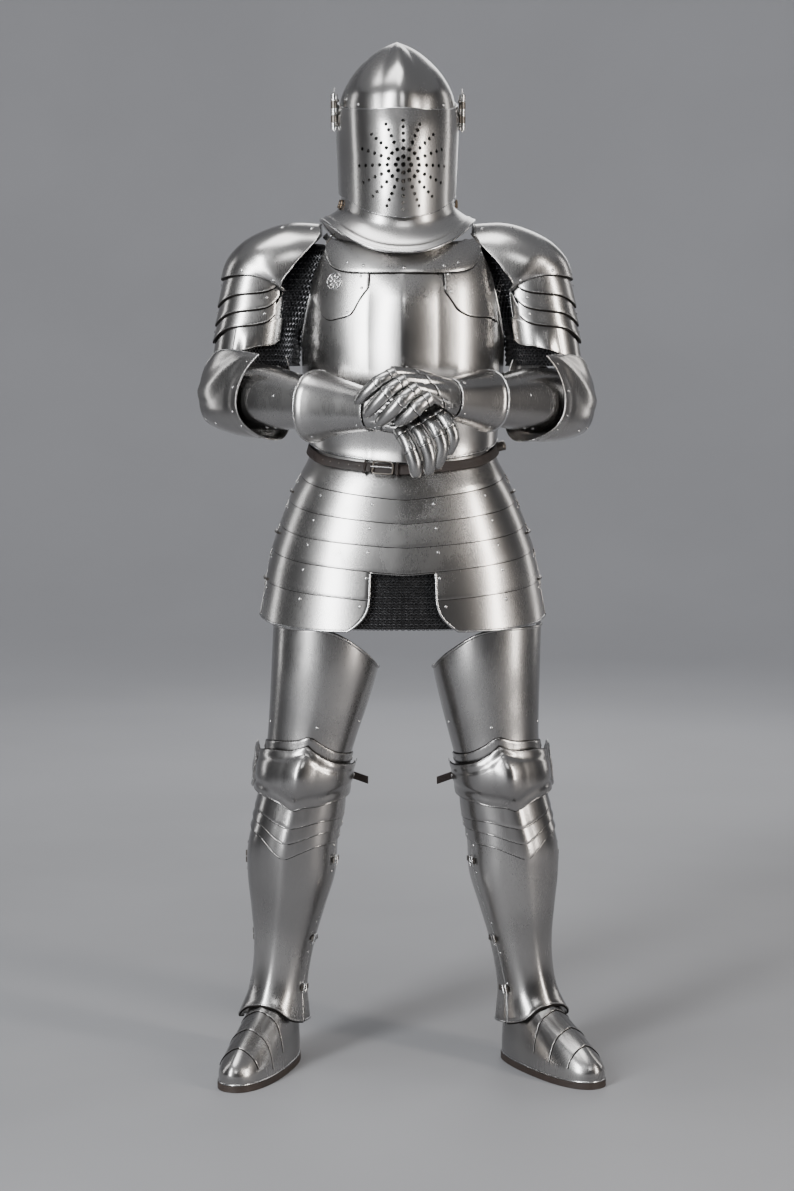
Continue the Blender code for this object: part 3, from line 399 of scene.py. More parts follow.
TORSO = [
    Level(1.475, 0, 0.004, 0.1120, 0.094, 0.090, 0, 0, 0.001),
    Level(1.440, 0, 0.002, 0.1480, 0.114, 0.108, 0, 0, 0.003),
    Level(1.400, 0, 0.000, 0.1630, 0.132, 0.126, 0, 0, 0.005),
    Level(1.345, 0, 0.000, 0.1710, 0.146, 0.136, 0, 0, 0.006),
    Level(1.275, 0, 0.000, 0.1740, 0.153, 0.134, 0, 0, 0.006),
    Level(1.200, 0, 0.000, 0.1710, 0.147, 0.121, 0, 0, 0.006),
    Level(1.140, 0, 0.000, 0.1650, 0.132, 0.109, 0, 0, 0.005),
    Level(1.095, 0, 0.000, 0.1630, 0.121, 0.102, 0, 0, 0.004),
    Level(1.060, 0, 0.000, 0.1680, 0.125, 0.107, 0, 0, 0.003),
]
HIPS = [
    Level(1.110, 0, 0.000, 0.1520, 0.108, 0.090, 0, 0, 0.002),
    Level(1.075, 0, 0.000, 0.1630, 0.117, 0.101, 0, 0, 0.003),
    Level(1.030, 0, 0.000, 0.1860, 0.132, 0.122, 0, 0, 0.004),
    Level(0.970, 0, 0.002, 0.2100, 0.145, 0.140, 0, 0, 0.004),
    Level(0.910, 0, 0.004, 0.2290, 0.154, 0.154, 0, 0, 0.003),
    Level(0.850, 0, 0.004, 0.2400, 0.160, 0.162, 0, 0, 0.002),
    Level(0.790, 0, 0.004, 0.2490, 0.164, 0.168, 0, 0, 0.001),
]
MAIL_SKIRT = [
    Level(0.960, 0, 0.002, 0.2030, 0.136, 0.134),
    Level(0.880, 0, 0.004, 0.2260, 0.147, 0.150),
    Level(0.795, 0, 0.004, 0.2380, 0.153, 0.160),
]
MAIL_SLEEVE = [
    Level(1.446, 0.186, 0.002, 0.0480, 0.044, 0.050),
    Level(1.420, 0.190, 0.000, 0.0650, 0.050, 0.052),
    Level(1.370, 0.208, 0.000, 0.0690, 0.050, 0.050),
    Level(1.330, 0.222, 0.000, 0.0630, 0.046, 0.046),
    Level(1.298, 0.231, -0.002, 0.0520, 0.043, 0.043),
    Level(1.262, 0.234, -0.004, 0.0530, 0.042, 0.042),
]
ARM = [
    Level(1.425, 0.225, 0.000, 0.0560, 0.066, 0.066),
    Level(1.390, 0.236, 0.000, 0.0600, 0.068, 0.068),
    Level(1.345, 0.242, 0.000, 0.0615, 0.067, 0.067),
    Level(1.300, 0.249, -0.002, 0.0610, 0.064, 0.064),
    Level(1.255, 0.257, -0.004, 0.0600, 0.061, 0.061),
]
# distance along the shoulder, centre, lean of the outward direction, reach outward, inward, front, back
SHOULDER = [
    Spine(0.000, 0.134, 0.004, 1.402, 92, 0.078, 0.040, 0.073, 0.078),
    Spine(0.045, 0.176, 0.002, 1.404, 82, 0.078, 0.050, 0.079, 0.082),
    Spine(0.085, 0.210, 0.000, 1.398, 60, 0.073, 0.060, 0.080, 0.082),
    Spine(0.120, 0.226, 0.000, 1.392, 36, 0.070, 0.064, 0.076, 0.078),
    Spine(0.150, 0.235, 0.000, 1.388, 12, 0.066, 0.066, 0.073, 0.074),
    Spine(0.180, 0.239, 0.000, 1.366, 2, 0.067, 0.067, 0.072, 0.072),
]
# distance from the elbow along the forearm, reach to the front, back, top and bottom
COUTER = [
    Limb(0.092, 0.063, 0.056, 0.108, 0.066),
    Limb(0.050, 0.062, 0.058, 0.111, 0.066),
    Limb(0.012, 0.057, 0.057, 0.105, 0.062),
    Limb(-0.014, 0.049, 0.051, 0.082, 0.057),
    Limb(-0.036, 0.036, 0.040, 0.051, 0.047),
    Limb(-0.053, 0.0001, 0.0001, 0.0001, 0.0001),
]
# angle, and how far forward along the forearm the elbow plate's wings reach there
COUTER_RIM = (
    (-218, 0.088),
    (-150, 0.100),
    (-90, 0.118),
    (-60, 0.108),
    (-30, 0.088),
    (0, 0.080),
    (20, 0.092),
    (44, 0.116),
)
FOREARM = [
    Limb(0.040, 0.050, 0.044, 0.057, 0.054),
    Limb(0.100, 0.049, 0.043, 0.056, 0.051),
    Limb(0.160, 0.043, 0.038, 0.047, 0.044),
    Limb(0.230, 0.036, 0.032, 0.036, 0.036),
]
# distance back from the wrist
CUFF = [
    Limb(-0.130, 0.056, 0.045, 0.056, 0.062),
    Limb(-0.100, 0.048, 0.041, 0.049, 0.051),
    Limb(-0.050, 0.040, 0.035, 0.040, 0.040),
    Limb(0.000, 0.032, 0.029, 0.032, 0.032),
]
LEG = [
    Level(0.800, 0.137, 0.000, 0.0960, 0.098, 0.094, 0, 0, 0.002),
    Level(0.720, 0.141, 0.000, 0.0930, 0.094, 0.088, 0, 0, 0.003),
    Level(0.650, 0.150, 0.000, 0.0850, 0.086, 0.080, 0.05, 0, 0.003),
    Level(0.590, 0.160, 0.000, 0.0770, 0.079, 0.070, 0.1, 0, 0.004),
    Level(0.530, 0.171, 0.000, 0.0720, 0.077, 0.062, 0.2, 0, 0.004),
    Level(0.470, 0.180, 0.002, 0.0740, 0.077, 0.064, 0.3, 0, 0.004),
    Level(0.400, 0.194, 0.004, 0.0770, 0.076, 0.078, 0.4, 0, 0.004),
    Level(0.345, 0.197, 0.006, 0.0755, 0.071, 0.080, 0.5, 0, 0.004),
    Level(0.285, 0.203, 0.008, 0.0635, 0.062, 0.068, 0.6, 0, 0.004),
    Level(0.230, 0.209, 0.010, 0.0530, 0.054, 0.056, 0.7, 0, 0.003),
    Level(0.180, 0.215, 0.010, 0.0480, 0.052, 0.049, 0.8, 0, 0.003),
    Level(0.135, 0.221, 0.010, 0.0485, 0.060, 0.048, 0.9, 0, 0.003),
    Level(0.100, 0.225, 0.010, 0.0560, 0.080, 0.051, 1.0, 0, 0.003),
    Level(0.070, 0.227, 0.010, 0.0600, 0.092, 0.056, 1.0, 0, 0.003),
]
KNEE = [
    Level(0.600, 0.160, 0.000, 0.0810, 0.0835, 0.080, 0.1, 0, 0.004),
    Level(0.575, 0.165, 0.000, 0.0830, 0.0885, 0.080, 0.1, 0, 0.005),
    Level(0.545, 0.170, 0.000, 0.0845, 0.0990, 0.080, 0.2, 0, 0.008),
    Level(0.515, 0.174, 0.000, 0.0835, 0.0985, 0.080, 0.2, 0, 0.008),
    Level(0.485, 0.178, 0.001, 0.0805, 0.0880, 0.080, 0.3, 0, 0.005),
    Level(0.465, 0.181, 0.002, 0.0795, 0.0845, 0.080, 0.3, 0, 0.004),
]
FOOT = [
    Level(0.008, 0.223, 0.002, 0.0430, 0.132, 0.124, 1, 0, 0.0, 0.16, 0.064),
    Level(0.032, 0.223, 0.002, 0.0430, 0.132, 0.122, 1, 0, 0.002, 0.14, 0.062),
    Level(0.056, 0.223, 0.002, 0.0400, 0.114, 0.110, 1, 0, 0.004, 0.10, 0.052),
    Level(0.080, 0.223, 0.004, 0.0370, 0.092, 0.088, 1, 0, 0.004, 0.05, 0.034),
    Level(0.100, 0.223, 0.006, 0.0360, 0.070, 0.066, 1, 0, 0.003, 0.02, 0.016),
    Level(0.120, 0.223, 0.008, 0.0360, 0.050, 0.050, 1, 0, 0.002, 0.00, 0.004),
]


# ---------------------------------------------------------------- forms the plates lie on


def curve(pairs, at):
    """Values at an array of stations, by a cubic curve through (station, value) pairs, straight past the ends."""
    stations, values = np.array(sorted(pairs), float).T
    at = np.asarray(at, float)
    steps = np.diff(stations)
    slopes = np.diff(values) / steps
    leans = np.empty_like(values)
    leans[0], leans[-1] = slopes[0], slopes[-1]
    leans[1:-1] = (values[2:] - values[:-2]) / (stations[2:] - stations[:-2])
    i = np.clip(np.searchsorted(stations, at) - 1, 0, len(steps) - 1)
    t = np.clip((at - stations[i]) / steps[i], 0, 1)
    rest = 1 - t
    inner = values[i] * (1 + 2 * t) * rest**2 + leans[i] * steps[i] * t * rest**2
    inner = inner + values[i + 1] * (3 - 2 * t) * t**2 - leans[i + 1] * steps[i] * rest * t**2
    before = np.minimum(at - stations[0], 0) * slopes[0]
    after = np.maximum(at - stations[-1], 0) * slopes[-1]
    return inner + before + after


def heights_on(line, angles):
    """Heights along an edge, which is a function of the angle or one height all round."""
    return line(angles) if callable(line) else np.full(np.shape(angles), float(line))


def edge(*pairs):
    """An edge through (angle, height) pairs, the same on both sides of the front."""
    return lambda angle: curve(pairs, np.abs(angle))


def back_edge(*pairs):
    """An edge at the back, through (angle from the middle of the back, height) pairs."""
    return lambda angle: curve(pairs, np.abs(np.abs(angle) - 180))


def free_edge(*pairs):
    return lambda angle: curve(pairs, angle)


def across(*parts):
    return np.stack(np.broadcast_arrays(*parts), axis=-1).astype(float)


class Form:
    """A hollow form read from a table. Angle 0 is its front, and angles grow towards the wearer's outer side."""

    keel_width = 28.0
    power = 2.3

    def __init__(self, rows, side=1, shift_x=0.0, full_turn=0.0):
        self.rows = rows
        self.side = side
        self.shift_x = shift_x
        self.full_turn = full_turn

    def read(self, name, at):
        return curve([(row[0], getattr(row, name)) for row in self.rows], at)

    def round_pair(self, angle):
        sine, cosine = np.sin(np.radians(angle)), np.cos(np.radians(angle))
        power = 2 / self.power
        return np.sign(sine) * np.abs(sine) ** power, np.sign(cosine) * np.abs(cosine) ** power

    def placed(self, points):
        return points * np.array([self.side, 1, 1]) + np.array([self.shift_x, 0, -NECK_HEIGHT])

    def normals(self, angle, at):
        """Outward directions, in the frame."""
        centre, here = self.section(angle, at)
        turned = self.section(angle + 0.5, at)[1] - self.section(angle - 0.5, at)[1]
        moved = self.section(angle, at + 0.0005)[1] - self.section(angle, at - 0.0005)[1]
        outward = np.cross(turned, moved)
        outward *= np.where((outward * (here - centre)).sum(-1, keepdims=True) < 0, -1, 1)
        return outward / np.linalg.norm(outward, axis=-1, keepdims=True) * np.array([self.side, 1, 1])

    def points(self, angle, at, out=0.0):
        angle, at, out = np.broadcast_arrays(np.asarray(angle, float), at, out)
        return self.placed(self.section(angle, at)[1]) + self.normals(angle, at) * out[..., None]

    def middle(self, at):
        return self.placed(self.section(np.zeros_like(at), at)[0])

    def inside(self, places):
        """A point inside the form for each place on it."""
        return self.middle(np.full(len(places), self.rows[2][0]))


class LevelForm(Form):
    """Level sections at heights above the floor."""

    def inside(self, places):
        return self.middle(places[:, 2] + NECK_HEIGHT)

    def section(self, angle, at):
        angle, at = np.broadcast_arrays(np.asarray(angle, float), np.asarray(at, float))
        sideways, ahead = self.round_pair(angle)
        reach = np.where(ahead > 0, self.read("front", at), self.read("back", at))
        turn = np.radians(self.read("turn", at) * self.full_turn)
        from_front = np.abs((angle + 180) % 360 - 180)
        ridge = self.read("keel", at) * np.clip(1 - from_front / self.keel_width, 0, 1) ** 1.5
        side = self.read("half", at) * sideways * (1 + self.read("egg", at) * ahead)
        front = reach * ahead + ridge + self.read("forward", at)
        rise = self.read("rise", at) * np.sin(np.radians(angle)) ** 2
        ahead_way = across(np.sin(turn), -np.cos(turn), 0.0)
        side_way = across(np.cos(turn), np.sin(turn), 0.0)
        centre = across(self.read("x", at), self.read("y", at), at)
        place = centre + side_way * side[..., None] + ahead_way * front[..., None] + across(0.0, 0.0, rise)
        return centre + ahead_way * self.read("forward", at)[..., None], place


class SpineForm(Form):
    """Sections that follow the shoulder over and down. Angle 0 is the ridge, and +90 the front."""

    def section(self, angle, at):
        angle, at = np.broadcast_arrays(np.asarray(angle, float), np.asarray(at, float))
        tilt = np.radians(self.read("tilt", at))
        sideways, ahead = self.round_pair(angle)
        reach = np.where(ahead > 0, self.read("out", at), self.read("inner", at)) * ahead
        depth = np.where(sideways > 0, self.read("front", at), self.read("back", at)) * sideways
        centre = across(self.read("x", at), self.read("y", at), self.read("z", at))
        place = centre + across(np.cos(tilt), 0.0, np.sin(tilt)) * reach[..., None]
        return centre, place + across(0.0, -depth, 0.0)


class LimbForm(Form):
    """Sections square to a straight forearm. Angle 0 is its front, +90 its top."""

    def __init__(self, rows, start, end, zero):
        super().__init__(rows)
        self.start = start
        self.axis = (end - start).normalized()
        self.zero = zero
        self.up = (Vector((0, 0, 1)) - self.axis * self.axis.z).normalized()
        self.front = self.axis.cross(self.up)
        if self.front.y > 0:
            self.front.negate()

    def section(self, angle, at):
        angle, at = np.broadcast_arrays(np.asarray(angle, float), np.asarray(at, float))
        sideways, ahead = self.round_pair(angle)
        high = np.where(sideways > 0, self.read("top", at), self.read("bottom", at)) * sideways
        reach = np.where(ahead > 0, self.read("front", at), self.read("back", at)) * ahead
        centre = np.array(self.start) + np.array(self.axis) * (self.zero + at)[..., None]
        return centre, centre + np.array(self.up) * high[..., None] + np.array(self.front) * reach[..., None]


# ---------------------------------------------------------------- making pieces

# share of the columns and rows that each plate keeps, so that all pieces stay under a million triangles
FINENESS = 0.66
LONG_BAR = 48
TURNED_EDGE = PLATE * 0.6


def finished(made):
    """The mesh of an object with its modifiers done, and the object gone."""
    bpy.context.scene.collection.objects.link(made)
    graph = bpy.context.evaluated_depsgraph_get()
    mesh = bpy.data.meshes.new_from_object(made.evaluated_get(graph))
    bpy.data.objects.remove(made)
    return mesh


def rivet_mesh():
    dome = bmesh.new()
    bmesh.ops.create_uvsphere(dome, u_segments=8, v_segments=6, radius=1.0)
    everything = dome.verts[:] + dome.edges[:] + dome.faces[:]
    bmesh.ops.bisect_plane(dome, geom=everything, plane_co=(0, 0, 0), plane_no=(0, 0, -1), clear_outer=True)
    bmesh.ops.scale(dome, verts=dome.verts, vec=(1, 1, 0.5))
    return mesh_of("rivet", dome)


def slab_mesh(name, shape, thickness):
    """The mesh of a flat shape, drawn out by a vector."""
    grown = bmesh.ops.extrude_face_region(shape, geom=shape.faces[:])
    moved = [item for item in grown["geom"] if isinstance(item, bmesh.types.BMVert)]
    bmesh.ops.translate(shape, verts=moved, vec=thickness)
    bmesh.ops.recalc_face_normals(shape, faces=shape.faces)
    return mesh_of(name, shape)


RIVET = rivet_mesh()


class Work:
    """One piece in the making. Its mesh grows from plates, bars and rivets."""

    def __init__(self, name, body="suit", looks=BODY_LOOKS, node=True):
        self.name = f"{name}_dressed" if node else name
        self.node = name if node else None
        self.body = body
        self.looks = looks
        self.mesh = bmesh.new()

    def take(self, mesh, look=PLAIN, matrix=None):
        """Adds a copy of a mesh, in one look."""
        part = mesh.copy()
        if matrix is not None:
            part.transform(matrix)
        part.polygons.foreach_set("material_index", np.full(len(part.polygons), look, np.int32))
        self.mesh.from_mesh(part)
        bpy.data.meshes.remove(part)

    def plate(self, form, columns, rows, sides, top, bottom, out=0.0, wall=PLATE, look=PLAIN, **more):
        """A plate on a form, between two angles and two edges, standing off by `out` at its top and bottom.

        `relief` moves it out by angle and height, `holes` are cutters, and `gather` crowds its middle.
        """
        relief, holes, soft_edge = more.get("relief"), more.get("holes"), more.get("soft_edge", 0.0004)
        sheet = bmesh.new()
        columns, rows = round(columns * FINENESS), max(3, round(rows * FINENESS))
        bmesh.ops.create_grid(sheet, x_segments=columns, y_segments=rows, size=0.5)
        share = np.array([(vert.co.x + 0.5, 0.5 - vert.co.y) for vert in sheet.verts])
        first, last = sides(share[:, 1]) if callable(sides) else sides
        gather = more.get("gather", 0.0) / math.tau
        angle = first + (last - first) * (share[:, 0] + gather * np.sin(share[:, 0] * math.tau))
        at = heights_on(top, angle) + (heights_on(bottom, angle) - heights_on(top, angle)) * share[:, 1]
        upper, lower = out if isinstance(out, tuple) else (out, out)
        stand_off = upper + (lower - upper) * share[:, 1]
        if relief:
            stand_off = stand_off + relief(angle, at)
        for vert, place in zip(sheet.verts, form.points(angle, at, stand_off)):
            vert.co = place
        bmesh.ops.remove_doubles(sheet, verts=sheet.verts, dist=0.0002)
        sheet.normal_update()
        centres = np.array([face.calc_center_median() for face in sheet.faces])
        outward = centres - form.inside(centres)
        if sum(face.normal.dot(Vector(way)) for face, way in zip(sheet.faces, outward)) < 0:
            bmesh.ops.reverse_faces(sheet, faces=sheet.faces)
        made = bpy.data.objects.new(self.name + "_sheet", mesh_of("sheet", sheet))
        thick = made.modifiers.new("wall", "SOLIDIFY")
        thick.thickness, thick.offset, thick.use_even_offset = wall, 1.0, more.get("even", True)
        if holes:
            cut = made.modifiers.new("holes", "BOOLEAN")
            cut.operation, cut.solver, cut.object = "DIFFERENCE", "EXACT", holes
        else:
            rounded = made.modifiers.new("edge", "BEVEL")
            rounded.width, rounded.segments, rounded.limit_method = soft_edge, 2, "ANGLE"
            rounded.angle_limit = math.radians(50)
        self.take(finished(made), look)

    def rod(self, points, radius, look=RIM, closed=False, sides=2):
        """A round bar along points, as for a rolled edge. A long bar keeps every other point."""
        if len(points) > LONG_BAR:
            kept = np.linspace(0, len(points) - 1, max(40, len(points) // 2))
            points = [points[index] for index in np.unique(kept.round().astype(int))]
        data = bpy.data.curves.new("rod", "CURVE")
        data.dimensions = "3D"
        data.bevel_depth, data.bevel_resolution, data.use_fill_caps = radius, sides, True
        spline = data.splines.new("POLY")
        spline.points.add(len(points) - 1)
        for knot, place in zip(spline.points, points):
            knot.co = (*place, 1)
        spline.use_cyclic_u = closed
        self.take(finished(bpy.data.objects.new("rod", data)), look)
        bpy.data.curves.remove(data)

    def bar(self, form, angles, heights, out, radius, look=RIM, **more):
        """A rod along a line on a form. Its heights are a function of the angle, an array or one height."""
        heights = heights(angles) if callable(heights) else heights
        self.rod(form.points(angles, heights, out), radius, look, **more)

    def frame(self, form, corners, out, radius, look=RIM, gap=0.12):
        """A closed frame through four (angle, height) corners, each rounded by leaving a gap."""
        share = np.linspace(gap, 1 - gap, 6)[:, None]
        starts, ends = np.array(corners), np.array(corners[1:] + corners[:1])
        angles, heights = np.concatenate([a + (b - a) * share for a, b in zip(starts, ends)]).T
        self.bar(form, angles, heights, out, radius, look, closed=True)

    def lip(self, form, angles, line, out, thin=0.0008, gap=0.0012):
        """The rounded lower edge of a plate, and a black rod under it: painted shade in the gap below the edge."""
        self.bar(form, angles, line(angles) + thin * 0.5, out, thin, PLAIN)
        self.bar(form, angles, line(angles) - gap, out - PLATE * 0.8, gap, PAINTED_SHADE)

    def rivets(self, form, places, out, radius=0.0030, look=RIM):
        """Domed rivet heads at (angle, height) places."""
        angles, heights = np.array(places, float).T
        for head, way in zip(form.points(angles, heights, out), form.normals(angles, heights)):
            self.take(RIVET, look, standing(head, way) @ Matrix.Scale(radius, 4))

    def done(self):
        mesh = mesh_of(self.name, self.mesh)
        for look in self.looks:
            mesh.materials.append(look)
        mesh.shade_smooth()
        mesh.set_sharp_from_angle(angle=math.radians(50))
        made = bpy.data.objects.new(self.name, mesh)
        bpy.context.scene.collection.objects.link(made)
        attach(made, self.body)
        if self.node:
            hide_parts(self.node)
        return made


# ---------------------------------------------------------------- helmet

HEAD = {"shift_x": HEAD_X, "full_turn": HEAD_TURN}
SKULL = LevelForm(HELMET, **HEAD)
FACE = LevelForm(VISOR, **HEAD)
NECK = LevelForm(COLLAR, **HEAD)
skull_bottom = edge((0, 1.660), (45, 1.650), (70, 1.600), (88, 1.520), (110, 1.500), (180, 1.490))
visor_top = edge((0, 1.667), (40, 1.668), (70, 1.676), (96, 1.690))
visor_bottom = edge((0, 1.487), (30, 1.497), (60, 1.518), (96, 1.536))
VISOR_SIDES = (-96.0, 96.0)


def bell(distance, width):
    """1 at no distance, falling smoothly to 0 at the width."""
    return np.clip(1 - (distance / width) ** 2, 0, 1) ** 2


def ramp(distance, width):
    """1 at no distance or below, falling evenly to 0 at the width."""
    return np.clip(1 - distance / width, 0, 1)


def make_skull():
    work = Work("helmet_skull")

    def comb(angle, at):
        """A low ridge from the brow over the point and down the back."""
        from_middle = np.minimum(np.abs(angle), 180 - np.abs(angle))
        return 0.0062 * ramp(from_middle, 19) * np.clip((1.789 - at) / 0.02, 0, 1)

    work.plate(SKULL, 96, 44, (-180, 180), HELMET[-1].height, skull_bottom, relief=comb, gather=0.5)
    back = np.linspace(92, 268, 60)
    work.bar(SKULL, back, skull_bottom(np.where(back > 180, 360 - back, back)), PLATE, 0.0016)
    brow = [(side * 44, 1.6765) for side in (-1, 1)]
    nape = [(angle, 1.512) for angle in range(112, 250, 17)]
    work.rivets(SKULL, brow + nape, PLATE, 0.0028)
    work.done()


# the breaths: rings of holes, each with its distance from the middle, its count and its hole's radius
BREATH_RINGS = [
    (0.0, 1, 0.0040),
    (0.0130, 8, 0.0038),
    (0.0270, 16, 0.0036),
    (0.0400, 16, 0.0034),
    (0.0520, 16, 0.0032),
    (0.0630, 16, 0.0031),
    (0.0735, 16, 0.0030),
]
BREATH_MIDDLE = 1.5735
FACE_HALF = 0.105


def make_hole_cutter():
    """Short pins where the breaths are: holes in sixteen rays round one in the middle."""
    pins = bmesh.new()
    for far, count, radius in BREATH_RINGS:
        for turn in np.arange(count) * math.tau / count:
            wide, high = far * math.cos(turn), far * math.sin(turn) * 0.98
            angle = math.degrees(math.asin((abs(wide) / FACE_HALF) ** 1.15)) * np.sign(wide)
            place, way = FACE.points(angle, BREATH_MIDDLE + high), FACE.normals(angle, BREATH_MIDDLE + high)
            pin = bmesh.ops.create_cone(pins, segments=10, radius1=radius, radius2=radius, depth=0.02, cap_ends=True)
            bmesh.ops.transform(pins, matrix=standing(place, way), verts=pin["verts"])
    cutter = bpy.data.objects.new("breath_pins", mesh_of("breath_pins", pins))
    bpy.context.scene.collection.objects.link(cutter)
    return cutter


def make_visor():
    work = Work("visor", "visor")

    def roll(angle, at):
        """The face is drawn forward into a soft upright crease, and its sides are flattened a little."""
        return 0.0026 * ramp(np.abs(angle), 26) ** 1.3 - 0.0012 * bell(np.abs(angle) - 62, 16)

    cutter = make_hole_cutter()
    work.plate(FACE, 96, 56, VISOR_SIDES, visor_top, visor_bottom, relief=roll, holes=cutter)
    bpy.data.objects.remove(cutter)
    angles = np.linspace(*VISOR_SIDES, 90)
    for line in (visor_top, visor_bottom):
        work.bar(FACE, angles, line, PLATE / 2 + roll(angles, line(angles)), 0.0011)
    for side in VISOR_SIDES:
        work.bar(FACE, side, np.linspace(visor_bottom(side), visor_top(side), 24), PLATE / 2, 0.0011)
    work.done()


def turned_to_head(sideways, ahead, high):
    """A point by distances from the visor's pivot, in the turned head's directions."""
    turn = math.radians(HEAD_TURN)
    side_way = Vector((math.cos(turn), math.sin(turn), 0))
    ahead_way = Vector((math.sin(turn), -math.cos(turn), 0))
    return VISOR_PIVOT + side_way * sideways + ahead_way * ahead + Vector((0, 0, high))


HINGE_INNER = 0.1057
HINGE_AHEAD = 0.030
STRAP_WALL = 0.0022
KNUCKLE = 0.0115
KNUCKLE_GAP = 0.0006


def strap_mesh(side):
    """A flat strap, round at the pivot and wide at the hinge."""
    strap = bmesh.new()
    bmesh.ops.create_circle(strap, cap_ends=True, segments=32, radius=0.012)
    for vert in strap.verts:
        if vert.co.x > 0.006:
            vert.co.x, vert.co.y = 0.026, math.copysign(0.016, vert.co.y)
        vert.co = turned_to_head(side * HINGE_INNER, vert.co.x, vert.co.y)
    return slab_mesh("strap", strap, turned_to_head(side * STRAP_WALL, 0, 0) - VISOR_PIVOT)


def make_visor_hinge(side_name, side):
    """A strap from the temple pivot, a knuckled hinge with its pin, and the pin's ring."""
    work = Work(f"visor_hinge_{side_name}", "visor")
    work.take(strap_mesh(side), FITTING)
    pin_out = side * (HINGE_INNER + 0.004)
    for index in range(5):
        low = -0.028 + index * (KNUCKLE + KNUCKLE_GAP)
        ends = [turned_to_head(pin_out, HINGE_AHEAD, low + share * KNUCKLE) for share in (0, 0.08, 0.92, 1)]
        work.rod(ends, 0.0058, FITTING if index % 2 else RIM)
    work.rod([turned_to_head(pin_out, HINGE_AHEAD, high) for high in (-0.030, 0.034)], 0.0022)
    ring = [
        turned_to_head(pin_out, HINGE_AHEAD + 0.0042 * math.cos(turn), 0.0375 + 0.0042 * math.sin(turn))
        for turn in circle(16)
    ]
    work.rod(ring, 0.0010, closed=True)
    for high in (-0.020, 0.0, 0.020):
        arm = [turned_to_head(side * (HINGE_INNER - 0.0012), ahead, high) for ahead in (0.032, 0.044)]
        work.rod(arm, 0.0030, FITTING)
        work.take(RIVET, RIM, standing(arm[1], (side, 0, 0)) @ Matrix.Scale(0.0034, 4))
    pivot = turned_to_head(side * (HINGE_INNER + STRAP_WALL), 0, 0)
    work.take(RIVET, RIM, standing(pivot, (side, 0, 0)) @ Matrix.Scale(0.0062, 4))
    work.done()
    pin = Work(f"visor_pivot_{side_name}", node=False)
    pin.rod([turned_to_head(side * far, 0, 0) for far in (0.0975, HINGE_INNER - 0.0002)], 0.0035, FITTING)
    pin.done()


def make_collar():
    work = Work("helmet_collar")

    def border(angle, at):
        """A raised band just above the lower rim, and a rounded step below the visor."""
        return 0.0014 * bell(at - 1.4365, 0.0035) + 0.0010 * bell(at - 1.431, 0.0030)

    top, bottom = COLLAR[0].height, COLLAR[-1].height
    work.plate(NECK, 96, 44, (-180, 180), top, bottom, relief=border)
    angles = np.linspace(-180, 180, 120, endpoint=False)
    work.bar(NECK, angles, bottom + 0.0004, TURNED_EDGE, 0.0021, closed=True)
    work.bar(NECK, angles, top - 0.0006, PLATE / 2, 0.0013, closed=True)
    work.rivets(NECK, [(side * angle, 1.4415) for side in (-1, 1) for angle in (96, 124, 152)], PLATE, 0.0026)
    work.done()


def make_collar_buckle():
    """A cast frame with its tongue and a short strap, on the collar's right side; a ring on its left."""
    work = Work("collar_buckle", looks=(BRONZE, RIM_STEEL, BELT_LEATHER))
    out = PLATE + 0.0024
    work.frame(NECK, [(-86, 1.484), (-86, 1.466), (-76, 1.466), (-76, 1.484)], out, 0.0017, PLAIN)
    work.bar(NECK, np.linspace(-86, -76, 6), 1.475, out, 0.0012, PLAIN)
    work.bar(NECK, np.linspace(-82, -75.5, 5), np.linspace(1.475, 1.4753, 5), out + 0.001, 0.0009, PLAIN)
    work.plate(NECK, 10, 3, (-101, -81.5), 1.4805, 1.4695, PLATE + 0.0006, 0.0018, FITTING)
    work.rivets(NECK, [(-97, 1.475)], out, 0.0028, PLAIN)
    work.done()
    loop = Work("collar_ring", looks=(BRONZE, RIM_STEEL), node=False)
    hang = NECK.points(82.0, 1.474, 0.0045)
    ring = [hang + (0.0012 * math.cos(a), 0.0062 * math.cos(a), 0.0085 * math.sin(a)) for a in circle(20)]
    loop.rod(ring, 0.0014, PLAIN, closed=True)
    loop.rivets(NECK, [(82, 1.482), (82, 1.465)], PLATE, 0.0030, RIM)
    loop.done()


def make_head():
    make_skull()
    make_visor()
    make_collar()
    make_collar_buckle()
    for side_name, side in SIDES.items():
        make_visor_hinge(side_name, side)


# ---------------------------------------------------------------- breast, back and neck

TRUNK = LevelForm(TORSO)
LOINS = LevelForm(HIPS)
NECK_OUT = 2 * PLATE + 0.0022
CHEST_OUT = PLATE + 0.0016
BREAST_HALF_ANGLE = 87.0
neck_plate_top = edge((0, 1.440), (45, 1.448), (90, 1.462), (135, 1.450), (180, 1.450))
breast_top = edge((0, 1.424), (30, 1.434), (52, 1.452), (60, 1.405), (68, 1.345), (79, 1.288), (90, 1.268))
breast_bottom = edge((0, 1.076), (45, 1.090), (90, 1.112))
back_top = back_edge((0, 1.440), (35, 1.446), (52, 1.450), (60, 1.405), (68, 1.345), (79, 1.288), (90, 1.268))
back_bottom = back_edge((0, 1.090), (90, 1.112))
chest_bottom = {
    "right": free_edge(
        (16, 1.374), (21.8, 1.351), (26.5, 1.328), (34.7, 1.3200), (44.3, 1.3185), (54.5, 1.340), (63, 1.36)
    ),
    "left": free_edge((20, 1.370), (25, 1.3501), (29.3, 1.3334), (38.6, 1.3235), (56.7, 1.3205), (66, 1.312)),
}
chest_inner = {"right": 16.7, "left": 21.2}
CHEST_RIVETS = {
    "right": [(20.5, 1.3690), (21.5, 1.3885), (29.0, 1.3290)],
    "left": [(23.8, 1.3920), (24.5, 1.3640), (58, 1.3205)],
}
belt_middle = edge((0, 1.062), (45, 1.074), (90, 1.094), (135, 1.084), (180, 1.074))


